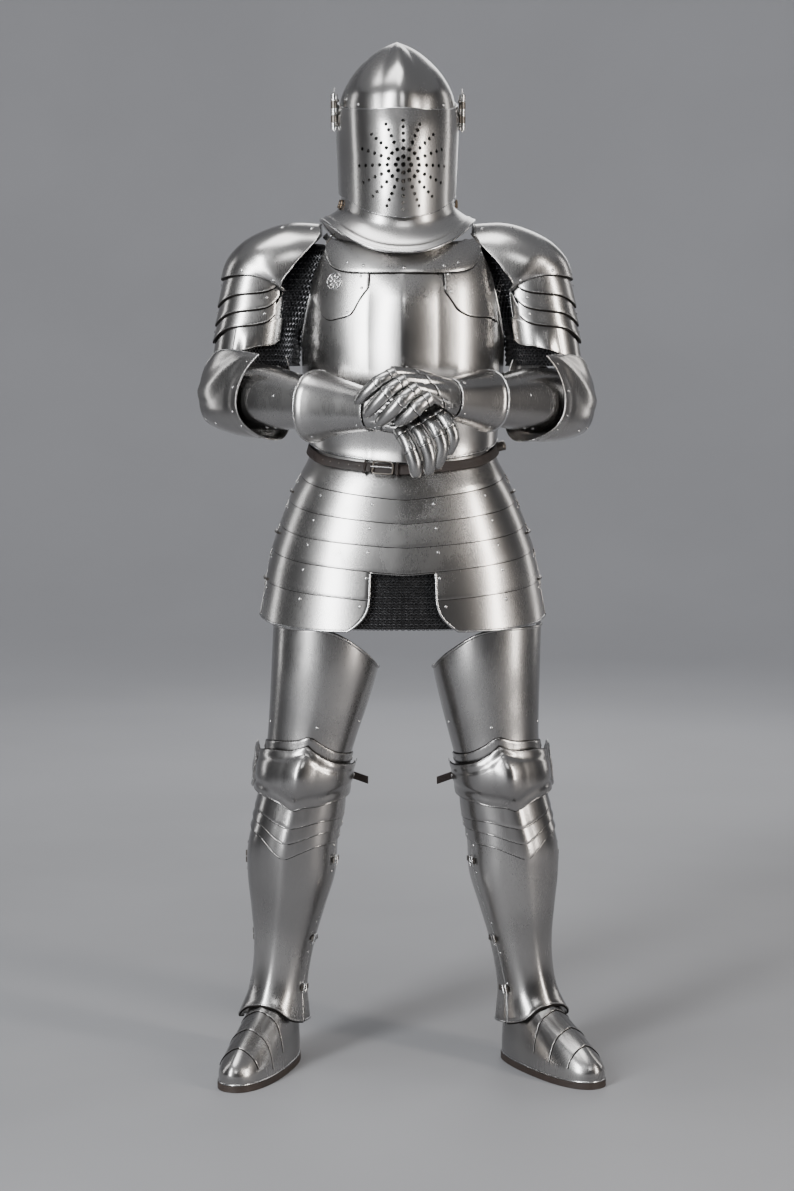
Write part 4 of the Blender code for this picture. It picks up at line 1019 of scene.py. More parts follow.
def neck_plate_bottom(angle):
    front = ((0, 1.394), (30, 1.396), (44, 1.406), (54, 1.430), (62, 1.450), (90, 1.457))
    back = ((90, 1.457), (118, 1.450), (126, 1.436), (140, 1.418), (180, 1.410))
    around = np.abs(angle)
    return np.where(around < 90, curve(front, around), curve(back, around))


def make_neck_plate():
    work = Work("neck_plate")
    work.plate(TRUNK, 144, 12, (-180, 180), neck_plate_top, neck_plate_bottom, NECK_OUT)
    angles = np.linspace(-180, 180, 160, endpoint=False)
    work.lip(TRUNK, angles, neck_plate_bottom, NECK_OUT + TURNED_EDGE, 0.0008, 0.0010)
    for side in (-1, 1):
        work.bar(TRUNK, side * 57.0, np.linspace(1.4430, 1.4585, 10), NECK_OUT + PLATE, 0.0011, FITTING)
    work.rivets(TRUNK, [(-20.4, 1.4052), (0.3, 1.4016), (21.4, 1.4053)], NECK_OUT + PLATE, 0.0030)
    work.rivets(TRUNK, [(side * 31.4, 1.4106) for side in (-1, 1)], NECK_OUT + PLATE, 0.0024)
    work.rivets(TRUNK, [(side * 61.0, 1.4560) for side in (-1, 1)], NECK_OUT + PLATE, 0.0030)
    work.rivets(TRUNK, [(180 + side * 24.0, 1.4250) for side in (-1, 0, 1)], NECK_OUT + PLATE, 0.0030)
    work.done()


def breast_keel(angle, at):
    """A raised edge down the middle of the breast, fading out at the throat."""
    fade = np.clip((1.410 - at) / 0.06, 0, 1)
    return 0.0085 * ramp(np.abs(angle), 17) * fade


def make_breastplate():
    work = Work("breastplate")
    sides = (-BREAST_HALF_ANGLE, BREAST_HALF_ANGLE)
    work.plate(TRUNK, 140, 70, sides, breast_top, breast_bottom, relief=breast_keel, gather=0.65)
    for side in (-1, 1):
        angles = side * np.linspace(56, 86.5, 50)
        work.bar(TRUNK, angles, breast_top(angles) - 0.001, PLATE * 0.8, 0.0026)
    angles = np.linspace(*sides, 90)
    work.bar(TRUNK, angles, breast_bottom(angles) + 0.001, TURNED_EDGE, 0.0017)
    work.done()


def make_backplate():
    work = Work("backplate")

    def spine_groove(angle, at):
        return -0.0035 * bell(np.abs(angle) - 180, 14) + 0.0022 * bell(np.abs(np.abs(angle - 180) - 22), 12)

    work.plate(TRUNK, 140, 60, (93, 267), back_top, back_bottom, relief=spine_groove)
    for angles in (np.linspace(93.5, 124, 50), np.linspace(236, 266.5, 50)):
        work.bar(TRUNK, angles, back_top(angles) - 0.001, PLATE * 0.8, 0.0026)
    angles = np.linspace(93, 267, 90)
    work.bar(TRUNK, angles, back_bottom(angles) + 0.001, TURNED_EDGE, 0.0017)
    work.done()


def make_chest_plate(side_name, side):
    work = Work(f"chest_plate_{side_name}")
    form = LevelForm(TORSO, side)
    top = lambda angle: np.minimum(neck_plate_bottom(angle), breast_top(angle)) - 0.0015
    bottom, inner = chest_bottom[side_name], chest_inner[side_name]
    work.plate(form, 56, 40, lambda share: (inner, 62.5 + 2.5 * share), top, bottom, CHEST_OUT)
    lower = np.linspace(inner, 64.5, 70)
    work.lip(form, lower, bottom, CHEST_OUT + TURNED_EDGE, 0.0007, 0.0009)
    # a black rod along the plate's inner edge: painted shade in the seam
    work.bar(form, inner - 0.3, np.linspace(1.392, 1.3735, 16), CHEST_OUT, 0.0009, PAINTED_SHADE)
    work.rivets(form, CHEST_RIVETS[side_name], CHEST_OUT + PLATE, 0.0026)
    if side_name == "right":
        add_rosette(work, form, 39.6, 1.3805)
    work.done()


def add_rosette(work, form, angle, at):
    """A cast rosette: a corded ring, eight petals and a boss."""
    place = standing(form.points(angle, at, CHEST_OUT + PLATE), form.normals(angle, at))
    for radius, thick in ((0.0140, 0.0011), (0.0050, 0.0006)):
        ring = [place @ Vector((radius * math.cos(a), radius * math.sin(a), 0.0008)) for a in circle(40)]
        work.rod(ring, thick, closed=True)
    for petal in range(8):
        way = Matrix.Rotation(math.tau * petal / 8, 4, "Z") @ Matrix.Translation((0.0090, 0, 0.0004))
        work.take(RIVET, RIM, place @ way @ Matrix.Diagonal((0.0040, 0.0022, 0.0036, 1)))
    work.take(RIVET, RIM, place @ Matrix.Diagonal((0.0034, 0.0034, 0.0050, 1)))


# ---------------------------------------------------------------- belt


def make_belt():
    work = Work("belt", looks=(BELT_LEATHER, BELT_LEATHER, DARK_STEEL))
    top = lambda angle: belt_middle(angle) + 0.008
    bottom = lambda angle: belt_middle(angle) - 0.008
    work.plate(LOINS, 160, 6, (-180, 180), top, bottom, (0.0064, 0.0062), 0.003, soft_edge=0.0009)
    tail_top = lambda angle: belt_middle(angle) + 0.0065
    tail_bottom = lambda angle: belt_middle(angle) - 0.0085
    work.plate(LOINS, 40, 4, (-15, -60), tail_top, tail_bottom, 0.0098, 0.0024, soft_edge=0.0008)
    work.rivets(LOINS, [(angle, belt_middle(angle)) for angle in range(-50, -20, 7)], 0.0122, 0.0014, FITTING)
    knob = 87.0, belt_middle(87.0) + 0.002
    work.bar(LOINS, *knob, np.array([0.009, 0.020]), 0.0085, FITTING)
    work.rivets(LOINS, [knob], 0.0195, 0.0095, FITTING)
    work.done()


def make_belt_buckle():
    """An oblong frame with its tongue, and the loop that keeps the strap's end."""
    work = Work("belt_buckle", looks=(DARK_STEEL, RIM_STEEL, BELT_LEATHER))
    sides = ((-14.0, -1), (-14.0, 1), (-4.0, 1), (-4.0, -1))
    corners = [(angle, belt_middle(angle) + high * 0.0105) for angle, high in sides]
    work.frame(LOINS, corners, 0.0130, 0.0017, PLAIN, gap=0.10)
    work.bar(LOINS, np.linspace(-4, -15, 8), belt_middle, 0.0150, 0.0012)
    for angle in (-18.5, -2.0):
        heights = np.array([-0.0100, -0.0100, 0.0100, 0.0100]) + belt_middle(angle)
        work.bar(LOINS, angle, heights, np.array([0.0080, 0.0140, 0.0140, 0.0080]), 0.0020, FITTING)
    work.done()


# ---------------------------------------------------------------- hips

HipLine = namedtuple("HipLine", "front quarter side")
# heights of the lower edge of each hip lame at the front, half-way round and at the side seam
HIP_LINES = [
    HipLine(1.100, 1.104, 1.108),
    HipLine(1.014, 1.032, 1.056),
    HipLine(0.974, 0.990, 1.012),
    HipLine(0.934, 0.948, 0.970),
    HipLine(0.890, 0.906, 0.926),
    HipLine(0.842, 0.856, 0.872),
    HipLine(0.792, 0.794, 0.808),
]
HIP_LAP = 0.010
HIP_STEP = 0.0021
HIP_SEAM_ANGLE = 82.0
PART_ANGLE = 11.0
PART_ROUNDING = 8.0


def hip_line(index, raise_by=0.0):
    line = HIP_LINES[index]
    return edge((0, line.front + raise_by), (45, line.quarter + raise_by), (90, line.side + raise_by))


def hip_rivets(work, form, index, angles):
    """A row of rivets just under the edge of the lame above."""
    line = hip_line(index - 1)
    work.rivets(form, [(angle, line(angle) - 0.012) for angle in angles], PLATE + 0.0004, 0.0030)


def make_fauld():
    for index in range(1, 6):
        work = Work(f"fauld_lame_{index}")
        top, bottom = hip_line(index - 1, HIP_LAP if index > 1 else 0.0), hip_line(index)
        out = (0.0, HIP_STEP)
        if index < 5:
            sides = [(-HIP_SEAM_ANGLE, HIP_SEAM_ANGLE)]
        else:
            cut = hip_line(4)
            band = lambda angle: cut(angle) - 0.003
            work.plate(LOINS, 24, 4, (-PART_ANGLE, PART_ANGLE), top, band, (0.0, 0.0004))
            sides = [(-HIP_SEAM_ANGLE, -PART_ANGLE), (PART_ANGLE, HIP_SEAM_ANGLE)]
        for first, last in sides:
            work.plate(LOINS, round((last - first) * 0.75), 12, (first, last), top, bottom, out)
            angles = np.linspace(first, last, 90)
            work.lip(LOINS, angles, bottom, HIP_STEP + TURNED_EDGE, 0.0006, 0.0007)
        if index > 1:
            hip_rivets(work, LOINS, index, (-78, -44, -12.5, 12.5, 44, 78))
        work.done()
    for side_name, side in SIDES.items():
        make_hem(side_name, side)


def make_hem(side_name, side):
    """Half of the lowest hoop: rolled along its hem and up the rounded corner to the parting."""
    work = Work(f"fauld_lame_6_{side_name}")
    form = LevelForm(HIPS, side)
    top, bottom = hip_line(5, HIP_LAP), hip_line(6)
    sides = lambda share: (PART_ANGLE + PART_ROUNDING * share**3, np.full(np.shape(share), HIP_SEAM_ANGLE))
    work.plate(form, 70, 24, sides, top, bottom, (-0.0004, 0.0010))
    share = np.linspace(0, 1, 24)
    inner_angles = PART_ANGLE + PART_ROUNDING * share**3
    inner_heights = top(inner_angles) + (bottom(inner_angles) - top(inner_angles)) * share
    parting = np.linspace(hip_line(4)(PART_ANGLE) - 0.004, inner_heights[0] + 0.002, 14)
    hem_angles = np.linspace(PART_ANGLE + PART_ROUNDING, HIP_SEAM_ANGLE, 90)
    rim = np.concatenate([
        form.points(np.full(14, PART_ANGLE), parting, 0.0022),
        form.points(inner_angles, inner_heights, 0.0020),
        form.points(hem_angles[1:], bottom(hem_angles[1:]), 0.0020),
    ])
    work.rod(rim, 0.0022)
    hip_rivets(work, form, 6, (14.5, 44, 78))
    work.done()


def make_culet():
    """The back of the hip skirt: the same hoops, drawn in one wall with stepped edges."""
    work = Work("culet")
    bottom = back_edge((0, 0.796), (90, 0.806))
    levels = [1.096] + [(line.side + line.front) / 2 for line in HIP_LINES[1:6]]
    for index, high in enumerate(levels):
        last = index == len(levels) - 1
        low = bottom if last else levels[index + 1]
        work.plate(LOINS, 140, 10, (84, 276), high + (HIP_LAP if index else 0), low, (0.0, HIP_STEP))
        work.rivets(LOINS, [(angle, high - 0.012) for angle in (88, 120, 150, 180, 210, 240, 272)], PLATE, 0.0030)
    angles = np.linspace(84, 276, 140)
    work.bar(LOINS, angles, bottom(angles), 0.0026, 0.0022)
    for side_angle in (85.0, 275.0):
        for high in (1.02, 0.95, 0.87):
            work.bar(LOINS, np.linspace(side_angle - 9, side_angle + 9, 8), high, 0.0048, 0.0022, FITTING)
    work.done()


def make_body():
    make_neck_plate()
    make_breastplate()
    make_backplate()
    make_belt()
    make_belt_buckle()
    make_fauld()
    make_culet()
    for side_name, side in SIDES.items():
        make_chest_plate(side_name, side)


# ---------------------------------------------------------------- shoulders and arms

# how far each lame, then the upper cannon, reaches round the front and the back of the arm
LAME_REACH = (38.0, 34.0, 30.0)
CANNON_REACH = 46.0
# lower edges of the pauldron's lames: front inner corner, front, outside, back inner corner
ARM_LINES = [
    free_edge((-42, 1.404), (0, 1.406), (90, 1.388), (180, 1.400), (222, 1.392)),
    free_edge(
        (-42, 1.392), (-24, 1.373), (-10, 1.366), (35, 1.359), (90, 1.340), (145, 1.359), (190, 1.364), (222, 1.380)
    ),
    free_edge(
        (-42, 1.372), (-24, 1.346), (-10, 1.338), (35, 1.329), (90, 1.308), (145, 1.329), (190, 1.337), (222, 1.358)
    ),
    free_edge(
        (-42, 1.352), (-26, 1.322), (-10, 1.312), (35, 1.303), (90, 1.279), (145, 1.303), (190, 1.311), (222, 1.336)
    ),
]
cannon_bottom = free_edge((-46, 1.282), (-10, 1.274), (20, 1.258), (90, 1.250), (180, 1.256), (222, 1.266))
ARM_LAP = 0.011
ARM_STAND_OFF = 0.0046
COUTER_SIDES = (44, -218)
CUFF_LENGTH = {"right": 0.130, "left": 0.100}


def make_pauldron(side_name, side):
    work = Work(f"pauldron_{side_name}")
    form = SpineForm(SHOULDER, side, SHOULDER_X)
    bottom = free_edge((-130, 0.130), (-90, 0.150), (0, 0.162), (90, 0.142), (130, 0.119))
    sides = lambda share: (-40 - 90 * share**0.7, 40 + 90 * share**0.55)
    work.plate(form, 100, 70, sides, 0.0, bottom)
    share = np.linspace(0, 1, 60)
    behind, before = (form.points(angles, bottom(angles) * share, PLATE * 0.55) for angles in sides(share))
    across_bottom = np.linspace(-130, 130, 90)
    lower = form.points(across_bottom, bottom(across_bottom), PLATE * 0.55)
    work.rod(np.concatenate([behind, lower[1:], before[::-1][1:]]), 0.0014, PLAIN)
    # a black rod just inside the lower edge: painted shade under the pauldron where it overlaps the lame
    work.bar(form, across_bottom, bottom(across_bottom) + 0.0018, -0.0006, 0.0018, PAINTED_SHADE)
    work.bar(form, np.linspace(-40, 40, 30), 0.0, PLATE * 0.55, 0.0015)
    work.rivets(form, [(30, 0.012), (24, 0.052), (-30, 0.012), (-24, 0.052)], PLATE, 0.0036)
    work.rivets(form, [(101, 0.104), (64, 0.141), (-101, 0.104), (-64, 0.141)], PLATE, 0.0030)
    work.done()


def make_arm_lames(side_name, side):
    form = LevelForm(ARM, side, SHOULDER_X)
    for index in (1, 2, 3):
        work = Work(f"pauldron_lame_{index}_{side_name}")
        reach = LAME_REACH[index - 1]
        top = lambda angle: ARM_LINES[index - 1](angle) + ARM_LAP
        bottom = ARM_LINES[index]
        sides = (-reach, 180 + reach)
        work.plate(form, 90, 12, sides, top, bottom, (0.0, ARM_STAND_OFF))
        angles = np.linspace(*sides, 90)
        work.lip(form, angles, bottom, ARM_STAND_OFF + PLATE * 0.5, 0.0009, 0.0017)
        work.rivets(form, [(a, ARM_LINES[index - 1](a) - 0.012) for a in (-14, 90, 194)], ARM_STAND_OFF, 0.0028)
        work.done()


def make_upper_cannon(side_name, side):
    work = Work(f"upper_cannon_{side_name}")
    form = LevelForm(ARM, side, SHOULDER_X)
    top = lambda angle: ARM_LINES[3](angle) + ARM_LAP
    sides = (-CANNON_REACH, 180 + CANNON_REACH)
    work.plate(form, 100, 24, sides, top, cannon_bottom)
    angles = np.linspace(*sides, 90)
    work.bar(form, angles, cannon_bottom(angles) + 0.0006, TURNED_EDGE, 0.0015, PLAIN)
    for end in sides:
        heights = np.linspace(float(top(end)), float(cannon_bottom(end)), 12)
        work.bar(form, end, heights, TURNED_EDGE, 0.0010)

    def flute(angle, at):
        return 0.0050 * ramp(np.abs(angle - 2), 13) * np.clip((1.300 - at) / 0.03, 0, 1)

    flap_top = free_edge((-50, 1.322), (-34, 1.318), (-10, 1.310), (22, 1.306))
    flap_bottom = free_edge((-50, 1.284), (-38, 1.276), (-10, 1.272), (22, 1.258))
    work.plate(form, 40, 20, (-50, 22), flap_top, flap_bottom, (0.0016, 0.0022), relief=flute)
    rim = np.linspace(-50, 22, 40)
    work.lip(form, rim, flap_bottom, 0.0022 + TURNED_EDGE + flute(rim, flap_bottom(rim)), 0.0008, 0.0010)
    work.rivets(form, [(-44, 1.294), (-42, 1.286), (220, 1.330), (220, 1.296)], 0.0036, 0.0024)
    work.done()


def elbow_and_wrist(side_name, side):
    elbow = Vector((SHOULDER_X + side * ELBOW_OUT, ELBOW_Y, ELBOW_HEIGHT[side_name]))
    return elbow, WRIST[side_name]


def make_couter(side_name, side):
    """The elbow cop: a raised edge runs from its point up to the top of the front wing."""
    work = Work(f"couter_{side_name}")
    form = LimbForm(COUTER, *elbow_and_wrist(side_name, side), 0.0)
    rim = free_edge(*COUTER_RIM)
    ridge = free_edge((-0.055, 2), (0.0, 6), (0.045, 20), (0.095, 40))

    def crease(angle, at):
        fold = 0.0034 * ramp(np.abs(angle - ridge(at)), 13)
        roll = 0.0007 * bell(rim(angle) - 0.020 - at, 0.010)
        return fold * np.clip((0.11 - at) / 0.02, 0, 1) - roll

    work.plate(form, 140, 60, COUTER_SIDES, rim, COUTER[-1].at, relief=crease)
    angles = np.linspace(*COUTER_SIDES, 150)
    work.bar(form, angles, rim(angles), PLATE * 0.5 + crease(angles, rim(angles)), 0.0015, PLAIN)
    for end in COUTER_SIDES:
        along = np.linspace(float(rim(end)), COUTER[-1].at, 30)
        work.bar(form, end, along, PLATE * 0.5 + crease(end, along), 0.0014)
    around = (34, 8, -16, -40, -70)
    work.rivets(form, [(angle, rim(angle) - 0.011) for angle in around], PLATE + 0.0002, 0.0028)
    work.rivets(form, [(-46, 0.013), (-46, -0.020), (24, 0.030)], PLATE, 0.0030)
    work.done()


def make_forearm(side_name, side):
    elbow, wrist = elbow_and_wrist(side_name, side)
    cannon = Work(f"lower_cannon_{side_name}", looks=LIMB_LOOKS)
    form = LimbForm(FOREARM, elbow, wrist, 0.0)
    first, last = FOREARM[0].at, FOREARM[-1].at
    cannon.plate(form, 90, 50, (0, 360), first, last)
    around = np.linspace(0, 360, 60, endpoint=False)
    for along in (first, last):
        cannon.bar(form, around, along, PLATE * 0.5, 0.0016, closed=True)
    for angle in (-118, 118):
        cannon.bar(form, angle, np.linspace(first + 0.004, last, 24), PLATE, 0.0009, FITTING)
    cannon.rivets(form, [(-62, 0.118), (-66, 0.135), (10, 0.150), (-112, 0.07), (-112, 0.12)], PLATE, 0.0028)
    cannon.done()
    length = (wrist - elbow).length
    cuff = Work(f"gauntlet_cuff_{side_name}", looks=LIMB_LOOKS)
    form = LimbForm(CUFF, elbow, wrist, length)
    mouth = -CUFF_LENGTH[side_name]

    def flare(angle, at):
        return 0.0012 * bell(at - mouth - 0.006, 0.004)

    cuff.plate(form, 90, 56, (0, 360), mouth, 0.0, relief=flare)
    cuff.bar(form, around, mouth, TURNED_EDGE, 0.0019, closed=True)
    cuff.bar(form, around, -0.0006, TURNED_EDGE, 0.0014, closed=True)
    cuff.rivets(form, [(-64, mouth + 0.016), (48, -0.012), (-42, -0.012), (110, -0.012)], PLATE, 0.0026)
    cuff.done()


def make_arms():
    for side_name, side in SIDES.items():
        make_pauldron(side_name, side)
        make_arm_lames(side_name, side)
        make_upper_cannon(side_name, side)
        make_couter(side_name, side)
        make_forearm(side_name, side)


# ---------------------------------------------------------------- gauntlet hands

# Each finger, from the little finger to the thumb: its knuckle, first joint, second joint and tip.
Finger = namedtuple("Finger", "knuckle first second tip")
HANDS = {
    "right": [
        Finger((-0.007, -0.283, 1.141), (0.009, -0.300, 1.113), (0.019, -0.302, 1.087), (0.021, -0.295, 1.066)),
        Finger((0.014, -0.288, 1.153), (0.032, -0.306, 1.125), (0.043, -0.306, 1.096), (0.042, -0.298, 1.071)),
        Finger((0.033, -0.290, 1.164), (0.053, -0.307, 1.139), (0.063, -0.306, 1.111), (0.056, -0.298, 1.082)),
        Finger((0.050, -0.284, 1.173), (0.071, -0.298, 1.150), (0.081, -0.300, 1.128), (0.075, -0.292, 1.104)),
        Finger((0.018, -0.256, 1.192), (0.038, -0.256, 1.184), (0.052, -0.258, 1.168), (0.058, -0.262, 1.150)),
    ],
    "left": [
        Finger((0.043, -0.318, 1.191), (0.024, -0.328, 1.178), (0.007, -0.324, 1.163), (-0.009, -0.312, 1.152)),
        Finger((0.023, -0.318, 1.206), (0.001, -0.330, 1.190), (-0.020, -0.325, 1.169), (-0.038, -0.312, 1.152)),
        Finger((0.004, -0.312, 1.219), (-0.020, -0.324, 1.204), (-0.042, -0.318, 1.183), (-0.059, -0.305, 1.165)),
        Finger((-0.012, -0.298, 1.230), (-0.036, -0.308, 1.218), (-0.057, -0.303, 1.201), (-0.073, -0.293, 1.185)),
        Finger((0.030, -0.270, 1.224), (0.006, -0.268, 1.226), (-0.012, -0.268, 1.218), (-0.028, -0.270, 1.206)),
    ],
}
PALM = {"right": Vector((0.020, -0.262, 1.130)), "left": Vector((0.000, -0.270, 1.175))}
HAND_ARC = (-62, 160)
HAND_GAP = 0.004
FINGER_BEND = 76.0
# share of the finger's length, and the half thickness there; the last ones round off its tip
JOINT_SHARES = (0.0, 0.36, 0.68, 0.98)
FINGER_ROUND = (
    (0.0, 0.0104), (0.36, 0.0110), (0.68, 0.0107), (0.86, 0.0098), (0.96, 0.0080), (1.03, 0.0050), (1.06, 0.0)
)
# where along a finger each of its lames begins and ends, and how far it stands off
Lame = namedtuple("Lame", "start end out")
FINGER_LAMES = [
    Lame(0.00, 0.15, 0.0011),
    Lame(0.13, 0.40, 0.0),
    Lame(0.38, 0.47, 0.0009),
    Lame(0.45, 1.06, 0.0),
]


def finger_frame(fingers, number, row, palm):
    """One joint of a finger: its centre, the direction out of the hand and the direction across it."""
    joints = [Vector(place) for place in fingers[number]]
    along = (joints[min(row + 1, 3)] - joints[max(row - 1, 0)]).normalized()
    lower, upper = max(number - 1, 0), min(number + 1, len(fingers) - 2)
    sideways = Vector(fingers[max(upper, lower + 1)][row]) - Vector(fingers[lower][row])
    sideways = (sideways - along * sideways.dot(along)).normalized()
    outward = sideways.cross(along)
    if outward.dot(joints[row] - palm) < 0:
        outward.negate()
    return joints[row], outward, sideways


class FingerForm(Form):
    """A bent finger. Angle 0 is its back, and its stations are shares of its length."""

    def __init__(self, fingers, number, palm):
        super().__init__([(share,) for share in JOINT_SHARES])
        frames = [finger_frame(fingers, number, row, palm) for row in range(4)]
        self.centres, self.outs, self.sideways = (np.array([frame[part] for frame in frames]) for part in range(3))

    def along(self, table, at):
        return across(*(curve(list(zip(JOINT_SHARES, table[:, axis])), at) for axis in range(3)))

    def section(self, angle, at):
        angle, at = np.broadcast_arrays(np.asarray(angle, float), np.asarray(at, float))
        turn = np.radians(angle)[..., None]
        thick = np.maximum(curve(FINGER_ROUND, at), 0.00002)[..., None]
        centre = self.along(self.centres, at)
        way = self.along(self.outs, at) * np.cos(turn) + self.along(self.sideways, at) * np.sin(turn)
        return centre, centre + way / np.linalg.norm(way, axis=-1, keepdims=True) * thick

    def inside(self, places):
        stations = self.middle(np.linspace(0, 1, 12))
        nearest = np.linalg.norm(places[:, None] - stations[None], axis=-1).argmin(axis=1)
        return stations[nearest]


class HandForm(Form):
    """A sheet from the cuff to the knuckles. Its angle runs from 0 at the little finger's side to 100."""

    def __init__(self, wrist_line, knuckle_line, palm):
        super().__init__([(0.0,), (0.3,), (0.5,)])
        middle = (wrist_line + knuckle_line) / 2
        away = middle - np.array(palm)
        middle = middle + away / np.linalg.norm(away, axis=-1, keepdims=True) * 0.005
        self.lines = (wrist_line, middle, knuckle_line)
        self.palm = np.array(palm)

    def section(self, angle, at):
        angle, at = np.broadcast_arrays(np.asarray(angle, float), np.asarray(at, float))
        stations = np.linspace(0, 100, len(self.lines[0]))
        rows = [across(*(curve(list(zip(stations, line[:, axis])), angle) for axis in range(3))) for line in self.lines]
        share = at[..., None]
        weights = ((1 - share) * (1 - 2 * share), 4 * share * (1 - share), share * (2 * share - 1))
        place = sum(row * weight for row, weight in zip(rows, weights))
        return np.broadcast_to(self.palm, place.shape), place

    def inside(self, places):
        return np.broadcast_to(self.placed(self.palm), places.shape)


def wrist_points(cuff, angles):
    return cuff.section(np.array(angles, float), HAND_GAP)[1]


def make_finger(work, form):
    for lame in FINGER_LAMES:
        banded = lame.out > 0
        reach = 76 if banded else 80
        rows = 4 if banded else 18
        work.plate(form, 18, rows, (-reach, reach), lame.start, lame.end, lame.out, 0.0009, even=False)
        if lame.end < 1:
            angles = np.linspace(-reach, reach, 24)
            work.bar(form, angles, lame.end, lame.out + 0.0005, 0.0005, RIM)
            # a black rod under the next lame's edge: painted shade where the finger lames overlap
            work.bar(form, angles, lame.end + 0.014, 0.0007, 0.0005, PAINTED_SHADE)
    # the leather glove inside the finger lames; its near-black colour also paints the shade between the fingers
    work.plate(form, 18, 18, (-180, 180), 0.02, 1.05, -0.0012, 0.0010, FITTING, even=False)


def make_gauntlet_hand(side_name, side):
    """Back plates, knuckle row and lamed fingers over a leather glove."""
    looks = (HAND_STEEL, RIM_STEEL, GLOVE_LEATHER_AND_SHADE, JOINT_SHADE_PAINT)
    work = Work(f"gauntlet_hand_{side_name}", looks=looks)
    elbow, wrist = elbow_and_wrist(side_name, side)
    cuff = LimbForm(CUFF, elbow, wrist, (wrist - elbow).length)
    fingers, palm = HANDS[side_name], PALM[side_name]
    forms = [FingerForm(fingers, number, palm) for number in range(5)]
    for form in forms:
        make_finger(work, form)
    steps = np.array([-1, -0.36, 0.36, 1]) * FINGER_BEND
    knuckles = np.concatenate([form.section(steps, 0.0)[1] for form in forms])
    angles = np.linspace(*HAND_ARC, len(knuckles))
    back = HandForm(wrist_points(cuff, angles[:16]), knuckles[:16], palm)
    for start, end, out in ((0.0, 0.34, 0.0), (0.30, 0.62, 0.0012), (0.58, 0.90, 0.0), (0.86, 1.03, 0.0016)):
        work.plate(back, 70, 14, (0, 100), start, end, out, 0.0012, even=False)
        along = np.linspace(1, 99, 80)
        work.bar(back, along, end, out + 0.0008, 0.0006, PLAIN)
        # a black rod under the next band's edge: painted shade where the plates overlap
        work.bar(back, along, min(end + 0.025, 1.0), 0.0012, 0.0007, PAINTED_SHADE)
    work.rivets(back, [(6, 0.46), (94, 0.46), (6, 0.75), (94, 0.75)], 0.0024, 0.0022)
    thumb = HandForm(wrist_points(cuff, angles[16:]), knuckles[16:], palm)
    work.plate(thumb, 24, 24, (-12, 100), 0.0, 1.03, 0.0, 0.0012, even=False)
    under = np.concatenate([forms[number].section(np.array([120.0, 180.0, 240.0]), 0.05)[1] for number in (3, 2, 1, 0)])
    angles = np.linspace(HAND_ARC[1] - 4, 360 + HAND_ARC[0] + 4, len(under))
    glove = HandForm(wrist_points(cuff, angles), under, palm)
    work.plate(glove, 40, 20, (0, 100), 0.0, 1.0, 0.0, 0.0012, FITTING, even=False)
    work.done()


def make_hands():
    for side_name, side in SIDES.items():
        make_gauntlet_hand(side_name, side)


# ---------------------------------------------------------------- legs

COVER = PLATE + 0.0017
COP_OUT = 0.0018
cuisse_top = free_edge((-112, 0.712), (-75, 0.718), (-40, 0.748), (0, 0.786), (30, 0.790), (112, 0.790))
cuisse_bottom = free_edge((-112, 0.545), (-40, 0.552), (0, 0.570), (112, 0.562))
# edges round the knee: each is lower on the inner side of the leg, and pointed at its front
upper_lame_top = free_edge(
    (-96, 0.560), (-44, 0.5685), (-17, 0.5825), (-2, 0.597), (0, 0.600), (2, 0.5985),
    (14, 0.592), (50, 0.588), (96, 0.580)
)
upper_lame_bottom = free_edge((-96, 0.530), (-40, 0.540), (0, 0.560), (96, 0.548))
cop_top = free_edge(
    (-100, 0.541), (-68, 0.5455), (-35, 0.5545), (-14, 0.5675), (-2, 0.5805), (0, 0.5835), (2, 0.5815),
    (12, 0.5755), (50, 0.5735), (100, 0.56)
)
cop_bottom = free_edge(
    (-100, 0.490), (-52, 0.486), (-27, 0.480), (-9, 0.478), (-2, 0.4738), (0, 0.4725), (2, 0.4742),
    (16, 0.486), (40, 0.496), (100, 0.504)
)
knee_point = free_edge(
    (-96, 0.412), (-70, 0.4075), (-35, 0.4035), (-3, 0.3855), (0, 0.3835), (3, 0.3868),
    (33, 0.418), (52, 0.425), (96, 0.438)
)
# lower edges of the lames below the knee cop
KNEE_LINES = [
    edge((0, 0.496), (96, 0.512)),
    free_edge((-96, 0.448), (-40, 0.450), (-3, 0.4395), (0, 0.438), (3, 0.4398), (40, 0.458), (96, 0.474)),
    free_edge((-96, 0.432), (-40, 0.428), (-3, 0.4125), (0, 0.411), (3, 0.4130), (40, 0.440), (96, 0.456)),
    knee_point,
]
greave_front_bottom = edge((0, 0.120), (30, 0.112), (60, 0.092), (84, 0.082))
greave_back_top = back_edge((0, 0.418), (90, 0.446))
greave_back_bottom = back_edge((0, 0.074), (90, 0.081))
SOLE_TOP = 0.0110
STRAP_LOOKS = (BELT_LEATHER, RIM_STEEL, DARK_STEEL)


def leg_form(table, side_name, side):
    return LevelForm(table, side, full_turn=FOOT_TURN[side_name])


def swayed(side):
    """The leg's sections, with the hips swayed towards the wearer's left above the knee."""
    knee, hip = 0.570, 0.790
    shares = [max(0.0, (row.height - knee) / (hip - knee)) for row in LEG]
    return [row._replace(x=row.x + side * HIP_SWAY * share) for row, share in zip(LEG, shares)]


def make_cuisse(side_name, side):
    work = Work(f"cuisse_{side_name}", looks=LIMB_LOOKS)
    leg = leg_form(swayed(side), side_name, side)
    work.plate(leg, 110, 56, (-112, 112), cuisse_top, cuisse_bottom)
    angles = np.linspace(-112, 112, 110)
    work.bar(leg, angles, cuisse_top(angles) - 0.001, PLATE * 0.8, 0.0028, PLAIN, sides=3)
    for end in (-112, 112):
        heights = np.linspace(float(cuisse_top(end)), float(cuisse_bottom(end)), 30)
        work.bar(leg, end, heights, PLATE * 0.5, 0.0014)
    work.rivets(leg, [(-4, 0.6165), (70, 0.620), (-70, 0.620)], PLATE, 0.0030)
    work.done()


